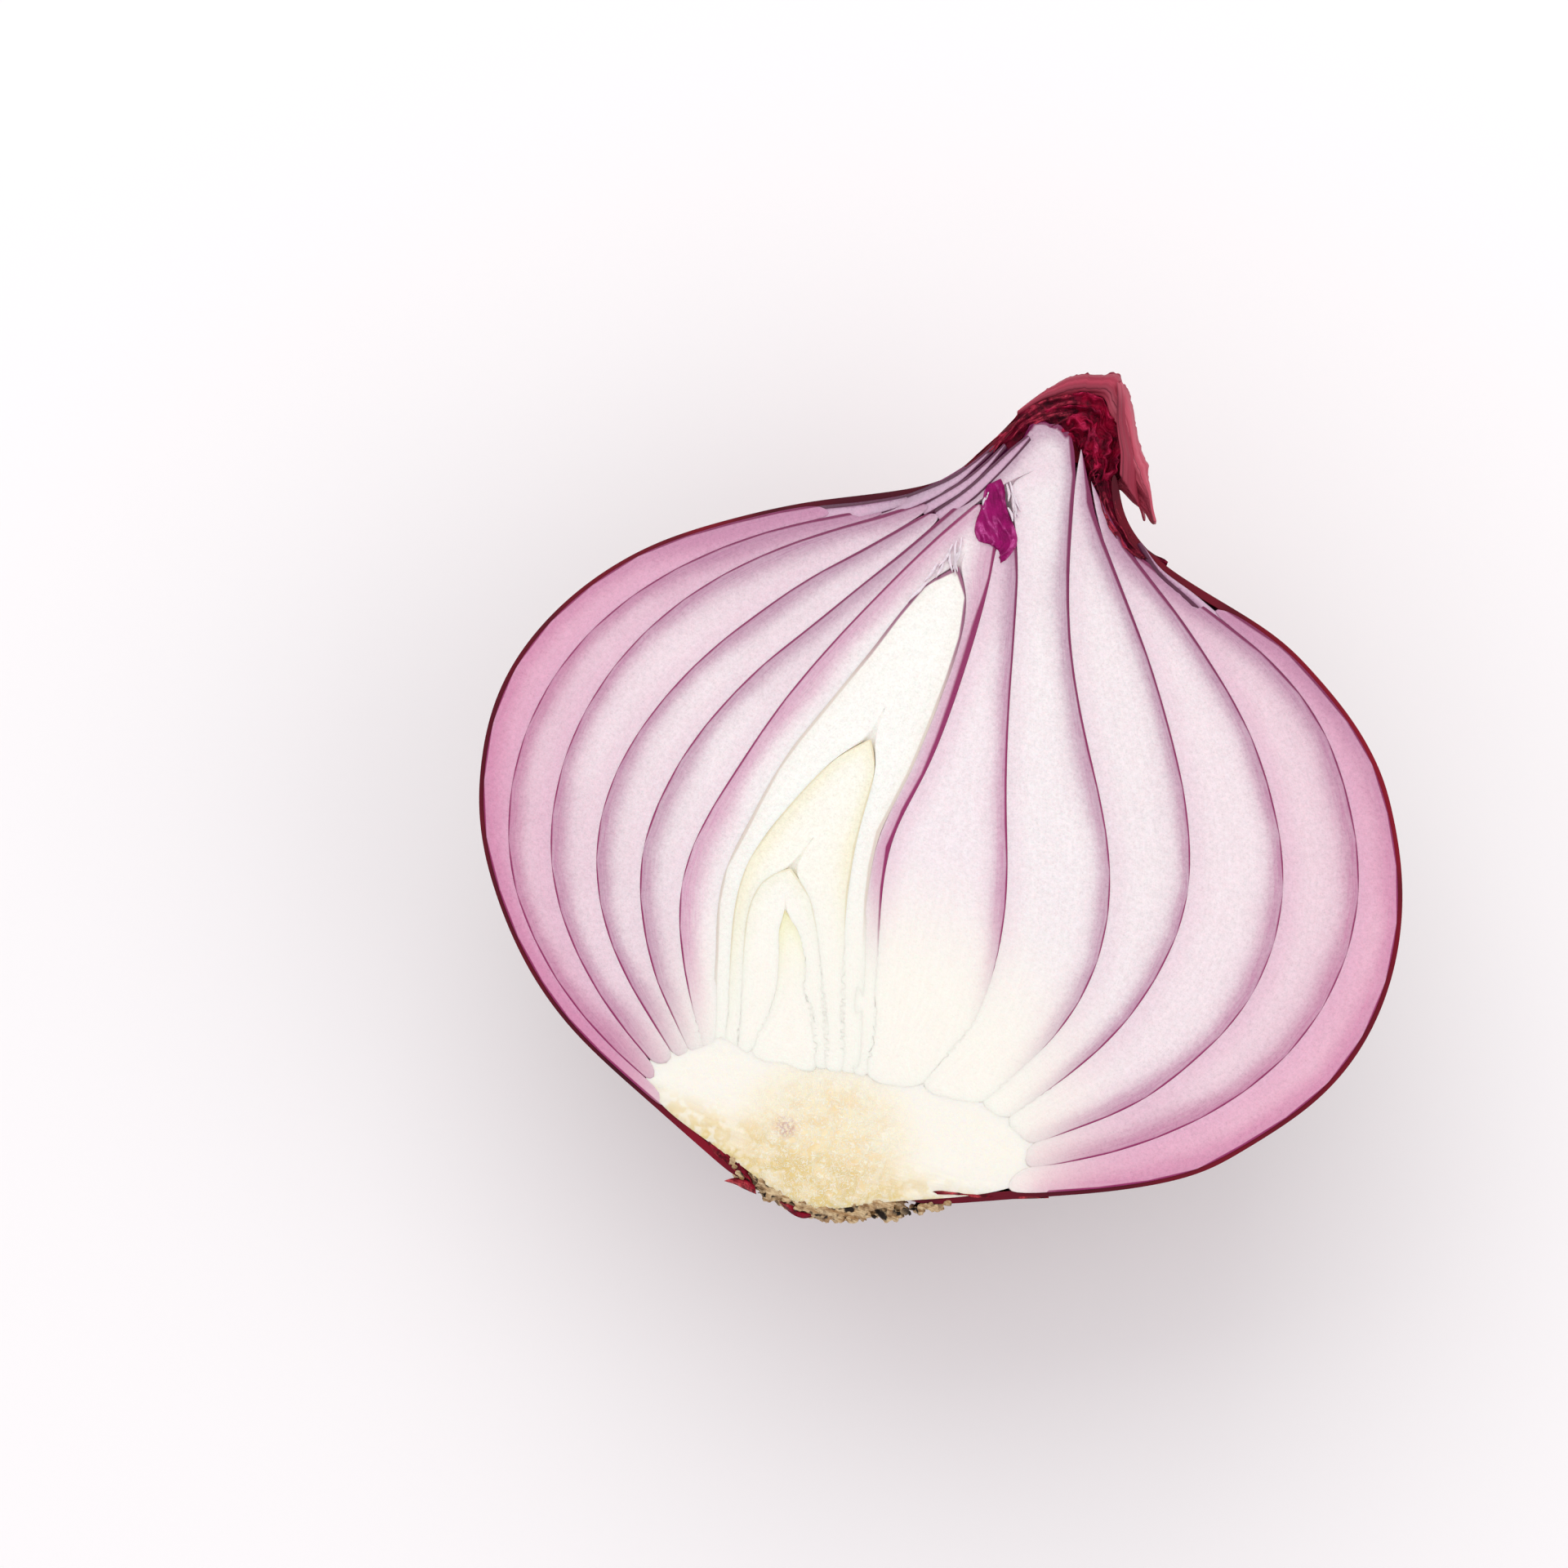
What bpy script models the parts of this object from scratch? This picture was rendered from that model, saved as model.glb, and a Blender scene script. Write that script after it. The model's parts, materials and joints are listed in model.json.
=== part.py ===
"""Half a red onion, cut lengthwise through its root and its neck, laid on its rounded back.

The bulb's own coordinates are millimetres: X to the right of the cut face, height along the bulb from
the root to the neck (+Y), and depth below the cut face (-Z). Every scale of the bulb lies between two
curved sheets. A sheet is half a ring at each height, and it is given by how far it reaches to the left
and to the right on the cut face.
"""

import math
import random

import bmesh
import bpy
import numpy as np
from mathutils import Vector

MM = 0.001
CUT_HEIGHT = 39.9  # of the cut face above the table, 1.1 less than the bulb's largest radius
REST_SPOT = (0.5, 30.5)  # bulb X and height of the middle of the flat spot it rests on
SKIN_THICKNESS = 0.6
GAP = 0.3  # between neighbouring scales
PLATE_GAP = 0.35  # between the basal plate and what grows from it
ROOT_STUBS = 26
CRUST_TOP = (-1.7, -0.2)  # heights at which the root crust ends, left and right
COLOURS = {
    "skin": (0.16, 0.005, 0.03),
    "flesh": (0.80, 0.55, 0.68),
    "core": (0.88, 0.84, 0.66),
    "plate": (0.72, 0.58, 0.30),
    "root": (0.30, 0.17, 0.07),
    "dry": (0.26, 0.008, 0.045),
}


# Sheets: what each boundary of the bulb reaches, left and right, at each height


def curve(*points):
    """A smooth reach for every height, through (height, reach) points and straight on past the ends."""
    heights, reaches = np.array(points, float).T
    steps = np.diff(heights)
    rises = np.diff(reaches) / steps
    inner = (rises[:-1] * steps[1:] + rises[1:] * steps[:-1]) / (steps[:-1] + steps[1:])
    slopes = np.concatenate([rises[:1], inner, rises[-1:]])

    def reach(height):
        if height <= heights[0]:
            return reaches[0] + slopes[0] * (height - heights[0])
        if height >= heights[-1]:
            return reaches[-1] + slopes[-1] * (height - heights[-1])
        i = np.searchsorted(heights, height) - 1
        t = (height - heights[i]) / steps[i]
        start = reaches[i] * (1 + 2 * t) + slopes[i] * steps[i] * t
        end = reaches[i + 1] * (3 - 2 * t) - slopes[i + 1] * steps[i] * (1 - t)
        return start * (1 - t) ** 2 + end * t**2

    return reach


class Sheet:
    """Half a ring at each height. One with a base or a tip closes there."""

    def __init__(self, left, right, base=-math.inf, tip=math.inf):
        self.left = left
        self.right = right
        self.base = base
        self.tip = tip

    def ends(self, height, inset=0.0):
        """The X of its left and right ends on the cut face, moved in by inset, square to the sheet."""
        reaches = []
        for side in (self.left, self.right):
            slope = (side(height + 0.05) - side(height - 0.05)) / 0.1
            reaches.append(side(height) - inset * math.hypot(1, slope))
        return -reaches[0], reaches[1]

    def point(self, height, turn, inset=0.0):
        """A turn of 0 is the right end, and pi the left end. The rest spot flattens the lowest part."""
        left, right = self.ends(height, inset)
        radius = max(0.0, (right - left) / 2)
        depth = min(radius * math.sin(turn), CUT_HEIGHT - max(inset, 0.0))
        return Vector(((left + right) / 2 + radius * math.cos(turn), height, -depth))

    def lowered(self, drop):
        return Sheet(
            lambda height: self.left(height + drop),
            lambda height: self.right(height + drop),
            self.base - drop,
            self.tip - drop,
        )


SKIN = Sheet(
    curve((-2.4, 7.5), (0.6, 14.5), (5.4, 25.0), (9.0, 30.0), (13.6, 34.3), (19.5, 38.2), (26, 40.2),
          (32, 40.6), (38, 39.0), (43.5, 35.9), (48.4, 31.5), (52.7, 25.4), (56.2, 19.3), (58.5, 14.2),
          (60.6, 10.1), (63.4, 7.1), (66.0, 5.9), (68.6, 4.7)),
    curve((0.3, 8.9), (3.6, 16.9), (6.3, 23.5), (9.7, 29.9), (14.2, 34.4), (20, 38.8), (26, 41.0),
          (32.2, 41.4), (38, 40.4), (44, 37.9), (49.4, 34.3), (54.0, 28.5), (57.6, 21.1), (59.2, 14.5),
          (60.4, 10.5), (62.0, 7.9), (64.5, 6.2), (67, 5.4)),
)
SCALE_SHEETS = [
    SKIN,
    Sheet(
        curve((2.8, 16.3), (4.9, 21.1), (8.1, 26.4), (11.9, 30.7), (16, 34.0), (21.6, 36.3), (27, 37.2),
              (32, 36.9), (40.4, 33.9), (45.8, 30.0), (50.5, 24.9), (53.4, 20.8), (55.7, 16.7),
              (57.5, 13.6), (58.5, 12.0)),
        curve((5.3, 14.8), (8.5, 21.1), (13.4, 27.9), (18.6, 32.6), (23.9, 35.6), (30.5, 37.1),
              (35.2, 37.1), (40.4, 35.7), (46.8, 32.2), (51, 28.8), (54.4, 24.0), (56.4, 19.7),
              (57.8, 15.4), (59.5, 11.2)),
    ),
    Sheet(
        curve((4.4, 16.8), (7.6, 21.9), (10.9, 25.8), (14.5, 29.0), (18.4, 31.3), (23.5, 32.8),
              (28.3, 33.2), (33.3, 32.6), (38.8, 30.8), (43.5, 28.2), (47.9, 24.6), (51.7, 20.4),
              (54.9, 16.0), (57.0, 12.8), (59.5, 9.5)),
        curve((8.0, 15.9), (14.4, 23.8), (19.7, 27.5), (24.5, 30.0), (29.8, 30.9), (33.8, 30.8),
              (38.4, 29.5), (44.4, 26.2), (48.9, 22.8), (52.7, 18.6), (56.0, 14.6), (58.4, 11.2),
              (60.4, 8.3), (63.2, 5.6)),
    ),
    Sheet(
        curve((5.2, 14.8), (8.9, 19.4), (11.9, 22.7), (16.1, 25.9), (21.4, 28.1), (26.4, 28.6),
              (31.6, 27.8), (36.4, 26.1), (41.1, 23.7), (45.3, 20.8), (49.7, 17.4), (53.5, 13.7),
              (57.3, 10.3), (60.3, 7.7), (64, 5.2), (68.6, 2.9)),
        curve((9.4, 13.1), (15.5, 17.8), (20, 20.4), (24.5, 21.9), (29.2, 22.7), (33.7, 22.5),
              (37.4, 21.3), (41.3, 19.6), (46.8, 16.3), (51.6, 13.1), (55.2, 10.3), (59.4, 7.0),
              (63.5, 3.9), (65, 3.3), (67, 2.9), (69, 2.3)),
    ),
    Sheet(
        curve((5.5, 13.4), (7.9, 15.7), (11.4, 19.1), (14.9, 21.4), (18.7, 23.2), (22.6, 24.2),
              (27, 24.0), (31.5, 23.2), (36.6, 21.3), (41.3, 18.9), (45.6, 16.0), (50, 13.2),
              (53.9, 10.6), (58.2, 8.0), (61.6, 6.0), (64, 4.6), (65.8, 3.6), (67.4, 2.5), (68.2, 1.6),
              (68.5, 0.7)),
        curve((9.7, 10.3), (14.4, 13.5), (18.9, 15.7), (23.9, 16.8), (28.5, 16.6), (33.2, 15.4),
              (38.7, 12.7), (43.7, 9.7), (50.9, 6.1), (56.8, 4.1), (62.8, 2.6), (66, 1.8),
              (67.4, 1.1), (68.2, 0.2), (68.5, -0.7)),
        tip=68.5,
    ),
    Sheet(
        curve((7.4, 13.5), (11.4, 16.2), (15.8, 18.5), (19.5, 19.8), (23.1, 20.1), (26.2, 19.7),
              (32.2, 18.2), (37.5, 16.7), (44.3, 14.0), (50.4, 11.1), (56.2, 8.1), (60.4, 5.6),
              (62.2, 4.5), (62.9, 3.7)),
        curve((13.3, 6.8), (15.7, 8.0), (20.5, 8.5), (24.8, 8.2), (29.4, 7.2), (35.5, 5.1),
              (41.6, 3.3), (50.9, 1.0), (56.3, -0.4), (60, -1.9), (62.2, -2.9), (62.9, -3.7)),
        tip=62.9,
    ),
]
HEART = SCALE_SHEETS[-1]
SPLIT = Sheet(  # between the inner sheath and the side scale, along the slit
    HEART.left,
    curve((9, 0.6), (11.4, 0.4), (17.6, -1.2), (25, -2.9), (29.1, -3.6), (36.6, -2.4), (46.2, -2.0),
          (54, -2.3), (57.1, -2.7)),
)
CORE_SHEETS = [
    Sheet(
        curve((5.1, 12.3), (11.5, 13.8), (15.5, 15.1), (23.1, 16.7), (26.7, 16.0), (33.1, 14.9),
              (38.8, 12.8), (45.5, 10.2), (50.3, 8.5), (53.2, 7.1), (54.1, 6.3), (54.4, 5.4)),
        curve((11.4, -0.8), (17.6, -2.4), (25.8, -4.3), (29.1, -4.8), (34.8, -3.9), (41.8, -3.3),
              (47.1, -3.1), (51, -3.4), (53.1, -4.1), (54.1, -4.7), (54.4, -5.4)),
        tip=54.4,
    ),
    Sheet(
        curve((7, 11.4), (12, 12.7), (16, 13.9), (21.4, 15.0), (25, 14.8), (29.6, 13.1), (33, 11.6),
              (36, 9.9), (37.2, 8.8), (37.5, 8.0)),
        curve((9.5, -1.6), (15.2, -3.3), (23.4, -5.6), (29.4, -6.5), (33, -6.6), (36, -6.8),
              (37.2, -7.3), (37.5, -8.0)),
        tip=37.5,
    ),
    Sheet(
        curve((8.6, 10.8), (12.7, 11.8), (16.2, 12.8), (20, 13.6), (22.4, 13.4), (23.8, 12.5),
              (24.5, 11.2)),
        curve((8.6, -2.6), (10.6, -3.3), (17, -5.9), (21.3, -7.9), (23.4, -9.3), (24.5, -11.2)),
        tip=24.5,
    ),
    Sheet(
        curve((8, 9.8), (10.5, 9.4), (12.3, 9.0), (14.5, 9.1), (17, 9.7), (19.5, 10.6), (20.9, 10.5)),
        curve((8, -3.5), (10.3, -4.1), (12, -4.7), (13.7, -5.9), (15.1, -6.9), (17, -7.3),
              (18.8, -8.1), (20.4, -9.6), (20.9, -10.5)),
        tip=20.9,
    ),
]
PLATE = Sheet(
    curve((-2.4, 0.7), (-2.0, 3.4), (-1.2, 5.6), (0, 9.2), (1.0, 12.4), (2.8, 16.0), (4.2, 16.4),
          (5.3, 15.2), (6.2, 13.9), (7.0, 12.3), (7.8, 9.0), (8.3, 4.0), (8.8, -0.5), (9.4, -5.0),
          (10.0, -8.5)),
    curve((-2.4, -0.7), (-2.1, 0.6), (-1.4, 2.2), (-0.4, 4.2), (0.5, 6.2), (1.2, 8.0), (2.4, 11.1),
          (3.5, 13.5), (5.3, 15.2), (7.0, 15.6), (8.3, 14.6), (9.2, 12.6), (9.8, 10.2), (10.0, 8.5)),
    base=-2.4,
    tip=10.0,
)
CRUST = Sheet(
    curve((-3.2, 0.5), (-3.0, 2.6), (-2.6, 4.6), (-2.1, 5.8), (-1.7, 6.6)),
    curve((-3.2, -0.5), (-3.0, 1.4), (-2.5, 2.8), (-1.6, 4.4), (-0.8, 5.8), (-0.2, 6.8)),
    base=-3.2,
)
FOLDS = Sheet(
    curve((68.9, 2.2), (70.0, 2.3), (72.0, 0.9), (73.2, -0.4), (73.8, -1.6)),
    curve((68.9, 4.7), (70.0, 4.0), (72.0, 3.0), (73.2, 2.4), (73.8, 1.6)),
    tip=73.8,
)
HOOD = Sheet(
    curve((64, 6.4), (66, 5.9), (69.3, 4.6), (71, 3.5), (73.7, 1.4), (75, 0.3)),
    curve((63.6, 9.9), (65.9, 8.7), (68.2, 7.5), (70.9, 5.6), (73.5, 4.4), (75, 3.8)),
)
HOOD_SINK = 0.45  # how far its ring's centre lies below the cut face, over the ring's radius
HOOD_CURL = (-45, 200)  # where its ring starts and ends, in degrees: past level at both sides
HOOD_HEM = curve((-45, 66.2), (-25, 64.9), (-8, 63.6), (12, 65.2), (40, 66.9), (90, 66.8), (150, 68.4),
                 (200, 69.4))  # the height of its lower edge at each of those turns


# Meshes and materials


def material(name, roughness=0.5):
    made = bpy.data.materials.new(name)
    made.use_nodes = True
    shader = made.node_tree.nodes["Principled BSDF"]
    shader.inputs["Base Color"].default_value = (*COLOURS[name], 1)
    shader.inputs["Roughness"].default_value = roughness
    shader.inputs["Metallic"].default_value = 0
    return made


def add_object(name, mesh, finish, collection):
    """Turns a bmesh in bulb millimetres into an object in metres, its cut face up on the table."""
    bmesh.ops.remove_doubles(mesh, verts=mesh.verts, dist=0.02)
    bmesh.ops.delete(mesh, geom=[vert for vert in mesh.verts if not vert.link_faces])
    bmesh.ops.recalc_face_normals(mesh, faces=mesh.faces)
    bmesh.ops.translate(mesh, verts=mesh.verts, vec=(-REST_SPOT[0], -REST_SPOT[1], CUT_HEIGHT))
    bmesh.ops.scale(mesh, verts=mesh.verts, vec=(MM, MM, MM))
    data = bpy.data.meshes.new(name)
    mesh.to_mesh(data)
    mesh.free()
    data.materials.append(finish)
    made = bpy.data.objects.new(name, data)
    collection.objects.link(made)
    return made


def loft(rings):
    """A closed body through rings of points. Each ring goes out along one face and back along the other."""
    mesh = bmesh.new()
    rows = [[mesh.verts.new(point) for point in ring] for ring in rings]
    for row, following in zip(rows, rows[1:]):
        for i in range(len(row)):
            mesh.faces.new((row[i - 1], row[i], following[i], following[i - 1]))
    for row in (rows[0], rows[-1]):
        for i in range(len(row) // 2 - 1):
            mesh.faces.new((row[i], row[i + 1], row[-2 - i], row[-1 - i]))
    return mesh


def between(right, left, turn):
    """A height that goes from the one at the right end to the one at the left end as the sheet turns."""
    return (right + left) / 2 + (right - left) / 2 * math.cos(turn)


def plate_surface(sheet, inset, turn):
    """The height at which the sheet comes out of the basal plate."""
    low, high = 0.0, 16.0
    for _ in range(30):
        height = (low + high) / 2
        point = sheet.point(height, turn, inset)
        reaches = []
        for level in (height, height - PLATE_GAP):
            left, right = PLATE.ends(level)
            middle = Vector(((left + right) / 2, point.y, 0))
            reaches.append((right - left) / 2 + PLATE_GAP - (point - middle).length)
        if max(reaches) > 0:
            low = height
        else:
            high = height
    return high


def evenly(sheets, low, high, steps):
    """Shares of the way from low to high, evenly spaced along the sheets' ends on the cut face."""
    heights = np.linspace(low, high, 200)
    sides = [side for sheet in sheets for side in (sheet.left, sheet.right)]
    squares = [np.diff([side(height) for height in heights]) ** 2 for side in sides]
    run = np.concatenate([[0], np.cumsum(np.sqrt(np.diff(heights) ** 2 + sum(squares)))])
    return (np.interp(np.linspace(0, run[-1], steps + 1), run, heights) - low) / (high - low)


def half_shell(outer, inner, bottom=None, top=None, rooted=True, steps=17, tip_steps=3, arcs=16,
               turn_end=math.pi, wave=None):
    """The rings of a scale between two (sheet, inset) faces, the inner one None in a solid piece.

    bottom and top are (left, right) heights. A rooted piece starts no lower than the basal plate, and one
    with no top closes at its outer sheet's tip. steps lie below the inner sheet's tip, tip_steps above.
    """
    sheet, inset = outer
    inner_sheet, inner_inset = inner or (None, 0.0)
    top = top or (sheet.tip, sheet.tip)
    closes = inner and inner_sheet.tip < min(top)
    turns = np.linspace(0, turn_end, arcs + 1)

    def lowest(turn, face):
        low = face[0].base
        if bottom:
            low = max(low, between(bottom[1], bottom[0], turn))
        if rooted:
            low = max(low, plate_surface(*face, turn))
        return low

    start, end = lowest(math.pi / 2, outer), sum(top) / 2
    middle = inner_sheet.tip if closes else end
    below = evenly([sheet, inner_sheet] if closes else [sheet], start, middle, steps)
    above = evenly([sheet], middle, end, tip_steps)[1:] if closes else np.empty(0)

    def heights(turn, face):
        low, high = lowest(turn, face), between(top[1], top[0], turn)
        middle = inner_sheet.tip if closes else high
        return np.concatenate([low + (middle - low) * below, middle + (high - middle) * above])

    outer_heights = [heights(turn, outer) for turn in turns]
    inner_heights = [heights(turn, inner) for turn in turns] if inner else outer_heights
    rings = []
    for i in range(len(outer_heights[0])):
        ring = []
        for j, turn in enumerate(turns):
            point = sheet.point(outer_heights[j][i], turn, inset)
            ring.append(point + wave(point, turn) if wave else point)
        middle = (ring[0] + ring[-1]) / 2
        for j, turn in reversed(list(enumerate(turns))):
            height = inner_heights[j][i]
            hollow = inner and height < inner_sheet.tip + 1e-6
            ring.append(inner_sheet.point(height, turn, inner_inset) if hollow else middle)
        rings.append(ring)
    return rings


# The pieces


def add_skin(collection, finish):
    """The dry papery skin, from the root right up the neck."""
    rings = half_shell((SKIN, 0), (SKIN, SKIN_THICKNESS), bottom=(-2.4, 0.3), top=(68.6, 66.6),
                       rooted=False, steps=30)
    add_object("outer_skin", loft(rings), finish, collection)


def add_fleshy_scales(collection, finish):
    """The five thick scales that go round the heart. The innermost closes over it as a wedge."""
    tops = [(55.7, 57.6), (57.2, 60.2), (59.0, 62.8), (58.4, 66.2), None]
    for i, top in enumerate(tops):
        inset = GAP + SKIN_THICKNESS if i == 0 else GAP / 2
        bottom = (1.6, 3.7) if i == 0 else None
        rings = half_shell((SCALE_SHEETS[i], inset), (SCALE_SHEETS[i + 1], -GAP / 2), bottom, top)
        add_object(f"fleshy_scale_{i + 1}", loft(rings), finish, collection)


def add_heart(collection, flesh, pale):
    """The scales inside the fifth one: a side scale past the slit, a sheath, and the core's leaves."""
    side_scale = half_shell((HEART, GAP / 2), (SPLIT, -GAP / 2), top=(58.4, 58.4), steps=14, arcs=8,
                            turn_end=math.radians(112))
    add_object("side_scale", loft(side_scale), flesh, collection)
    sheath = half_shell((SPLIT, GAP / 2), (CORE_SHEETS[0], -GAP / 2), top=(60.8, 57.2), steps=14,
                        arcs=12)
    add_object("inner_sheath", loft(sheath), flesh, collection)
    for i in range(3):
        inner = (CORE_SHEETS[i + 1], -GAP / 2)
        rings = half_shell((CORE_SHEETS[i], GAP / 2), inner, steps=10 - 2 * i, tip_steps=5 - i, arcs=10)
        add_object(f"core_leaf_{i + 1}", loft(rings), pale, collection)
    rings = half_shell((CORE_SHEETS[3], GAP / 2), None, steps=10, arcs=8)
    add_object("sprout", loft(rings), pale, collection)


def add_plate(collection, finish):
    """The basal plate, the squat stem that every scale grows from."""
    rings = half_shell((PLATE, 0), None, rooted=False, steps=14, arcs=12)
    add_object("basal_plate", loft(rings), finish, collection)


def add_root_crust(collection, pieces, finish):
    """The dry crust under the plate, with the stubs of the cut roots fused to it."""
    rings = half_shell((CRUST, 0), (PLATE.lowered(0.4), 0), top=CRUST_TOP, rooted=False, steps=6,
                       arcs=12)
    crust = add_object("root_crust", loft(rings), finish, collection)
    draw = random.Random(7)
    for i in range(ROOT_STUBS):
        turn = math.pi * (0.06 + 0.88 * ((i * 0.618) % 1))
        height = -3.05 + (between(*CRUST_TOP[::-1], turn) + 3.05) * 0.7 * i / ROOT_STUBS
        foot = CRUST.point(height, turn, 0.2)
        away = Vector((0.5 * foot.x, -4 - 2 * draw.random(), 0.5 * foot.z)).normalized()
        stub = bmesh.new()
        bmesh.ops.create_cone(stub, cap_ends=True, segments=4, radius1=0.55, radius2=0.3, depth=1.7)
        bmesh.ops.rotate(stub, verts=stub.verts, matrix=away.to_track_quat("Z", "Y").to_matrix())
        bmesh.ops.translate(stub, verts=stub.verts, vec=foot + away * 0.7)
        made = add_object(f"stub_{i}", stub, finish, pieces)
        made.hide_render = True
        made.display_type = "WIRE"
    fuse = crust.modifiers.new("fused stubs", "BOOLEAN")
    fuse.operation = "UNION"
    fuse.operand_type = "COLLECTION"
    fuse.collection = pieces


def add_neck(collection, dry):
    """The dried neck: an inner sheath, crumpled folds over the wedge, and the flap folded over them."""
    sheath = half_shell((SKIN, SKIN_THICKNESS + GAP), (SCALE_SHEETS[3], -GAP / 2), bottom=(60.2, 63.6),
                        top=(68.4, 66.4), steps=5, arcs=12)
    add_object("neck_sheath", loft(sheath), dry, collection)

    def crumple(point, turn):
        ripple = 0.35 * math.sin(7 * turn + 1.3 * point.y) * math.sin(turn) ** 0.5
        return Vector((ripple * math.cos(turn), 0, -ripple * math.sin(turn)))

    folds = half_shell((FOLDS, 0), None, bottom=(68.9, 68.9), steps=6, wave=crumple)
    add_object("neck_folds", loft(folds), dry, collection)

    rings = []
    for i in range(10):
        outside, inside = [], []
        for turn in np.linspace(*HOOD_CURL, 18):
            height = HOOD_HEM(turn) + (75.0 + 0.25 * math.sin(turn / 14) - HOOD_HEM(turn)) * i / 9
            left, right = HOOD.ends(height)
            radius = (right - left) / 2
            around = Vector((math.cos(math.radians(turn)), 0, -math.sin(math.radians(turn))))
            middle = Vector(((left + right) / 2, height, -HOOD_SINK * radius))
            outside.append(middle + around * radius)
            inside.append(middle + around * (radius - 0.75))
        rings.append(outside + inside[::-1])
    add_object("neck_hood", loft(rings), dry, collection)


def main():
    for old in list(bpy.data.objects):
        bpy.data.objects.remove(old)
    onion = bpy.data.collections.new("red onion half")
    pieces = bpy.data.collections.new("root stubs to fuse")
    for collection in (onion, pieces):
        bpy.context.scene.collection.children.link(collection)
    flesh = material("flesh", 0.35)
    core = material("core", 0.35)
    dry = material("dry", 0.6)
    add_skin(onion, material("skin", 0.3))
    add_fleshy_scales(onion, flesh)
    add_heart(onion, flesh, core)
    add_plate(onion, material("plate", 0.6))
    add_root_crust(onion, pieces, material("root", 0.85))
    add_neck(onion, dry)


main()
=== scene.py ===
"""Half a red onion, cut lengthwise and laid cut face up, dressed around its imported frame."""

import json
import math
import random

import bmesh
import bpy
import numpy as np
from mathutils import Matrix, Vector, noise

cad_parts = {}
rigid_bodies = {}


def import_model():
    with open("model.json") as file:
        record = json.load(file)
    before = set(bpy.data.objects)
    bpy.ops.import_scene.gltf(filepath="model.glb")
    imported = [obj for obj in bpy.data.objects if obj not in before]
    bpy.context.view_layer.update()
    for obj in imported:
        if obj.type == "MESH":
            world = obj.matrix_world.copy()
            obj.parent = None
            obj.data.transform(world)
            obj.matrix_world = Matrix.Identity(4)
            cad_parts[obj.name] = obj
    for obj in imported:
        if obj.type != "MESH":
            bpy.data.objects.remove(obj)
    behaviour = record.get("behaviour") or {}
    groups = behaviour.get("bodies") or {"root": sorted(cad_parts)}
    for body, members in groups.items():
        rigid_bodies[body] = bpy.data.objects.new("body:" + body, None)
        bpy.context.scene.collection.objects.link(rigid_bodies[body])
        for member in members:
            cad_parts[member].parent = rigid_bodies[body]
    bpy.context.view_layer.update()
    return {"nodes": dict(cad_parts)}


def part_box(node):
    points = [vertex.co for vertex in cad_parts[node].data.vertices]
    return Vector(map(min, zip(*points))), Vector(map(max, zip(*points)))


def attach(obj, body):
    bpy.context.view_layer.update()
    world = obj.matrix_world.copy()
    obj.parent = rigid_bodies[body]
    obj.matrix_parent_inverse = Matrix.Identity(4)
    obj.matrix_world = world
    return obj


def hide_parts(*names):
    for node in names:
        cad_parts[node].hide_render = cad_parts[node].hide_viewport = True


for leftover in list(bpy.data.objects):
    bpy.data.objects.remove(leftover)
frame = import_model()


# Fleshy scales
#
# The five thick, juicy scales that go round the heart of the bulb, and that the knife has cut through.
# Each one has a thin purple membrane on its outside, which stains the white flesh under it, and they
# touch each other in shallow creases. Every one of them grows from the basal plate.

MM = 0.001
CUT_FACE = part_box("fleshy_scale_3")[1][2]
PLATE_CENTRE = Vector((0.0005, -0.0245, CUT_FACE))
HEART_LINE = ((-29, -7.0), (-16, -9.0), (-10, -10.0), (0, -8.5), (15, -8.0), (28, -4.5), (45, 1.0))
RIM = 0.12 * MM  # how wide the rounded edge of a cut scale is
FAR = 9.0  # millimetres, where there is no membrane to measure to
THICK = 3.0  # millimetres, what a scale's walls count as
BULB_SIDE, BULB_ROOT = 0.5, 30.5  # millimetres from the middle of the root to the frame's origin


def lift_from_frame(node, name):
    """A copy of one of the frame's solids, its triangles merged and joined back into quads."""
    bpy.ops.object.select_all(action="DESELECT")
    piece = bpy.data.objects.new(name, frame["nodes"][node].data.copy())
    bpy.context.collection.objects.link(piece)
    bpy.context.view_layer.objects.active = piece
    piece.select_set(True)
    piece.data.materials.clear()
    if piece.data.has_custom_normals:
        bpy.ops.mesh.customdata_custom_splitnormals_clear()
    bpy.ops.object.mode_set(mode="EDIT")
    bpy.ops.mesh.select_all(action="SELECT")
    bpy.ops.mesh.remove_doubles(threshold=2e-6)
    bpy.ops.mesh.tris_convert_to_quads(face_threshold=math.radians(60), shape_threshold=math.radians(120),
                                       topology_influence=1.0)
    bpy.ops.mesh.select_all(action="DESELECT")
    bpy.ops.object.mode_set(mode="OBJECT")
    return piece


def on_cut(vert):
    return vert.co.z > CUT_FACE - 2e-6


def wall_normal(vert):
    """Which way the walls beside a corner face, without the cut face."""
    total = Vector()
    for face in vert.link_faces:
        if not all(map(on_cut, face.verts)):
            total += face.normal * face.calc_area()
    if on_cut(vert):
        total.z = 0
    return total.normalized()


def is_outer(vert, normal):
    """Whether a wall faces away from the line of (height, side) points through the heart of the bulb."""
    heights, sides = np.array(HEART_LINE).T
    height = vert.co.y / MM
    towards_middle = 2.0 if height > -16 else -2.0
    side = np.interp(height - towards_middle, heights, sides)
    away = Vector((vert.co.x - side * MM, towards_middle * MM, vert.co.z - CUT_FACE))
    return normal.dot(away) > 0


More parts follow.
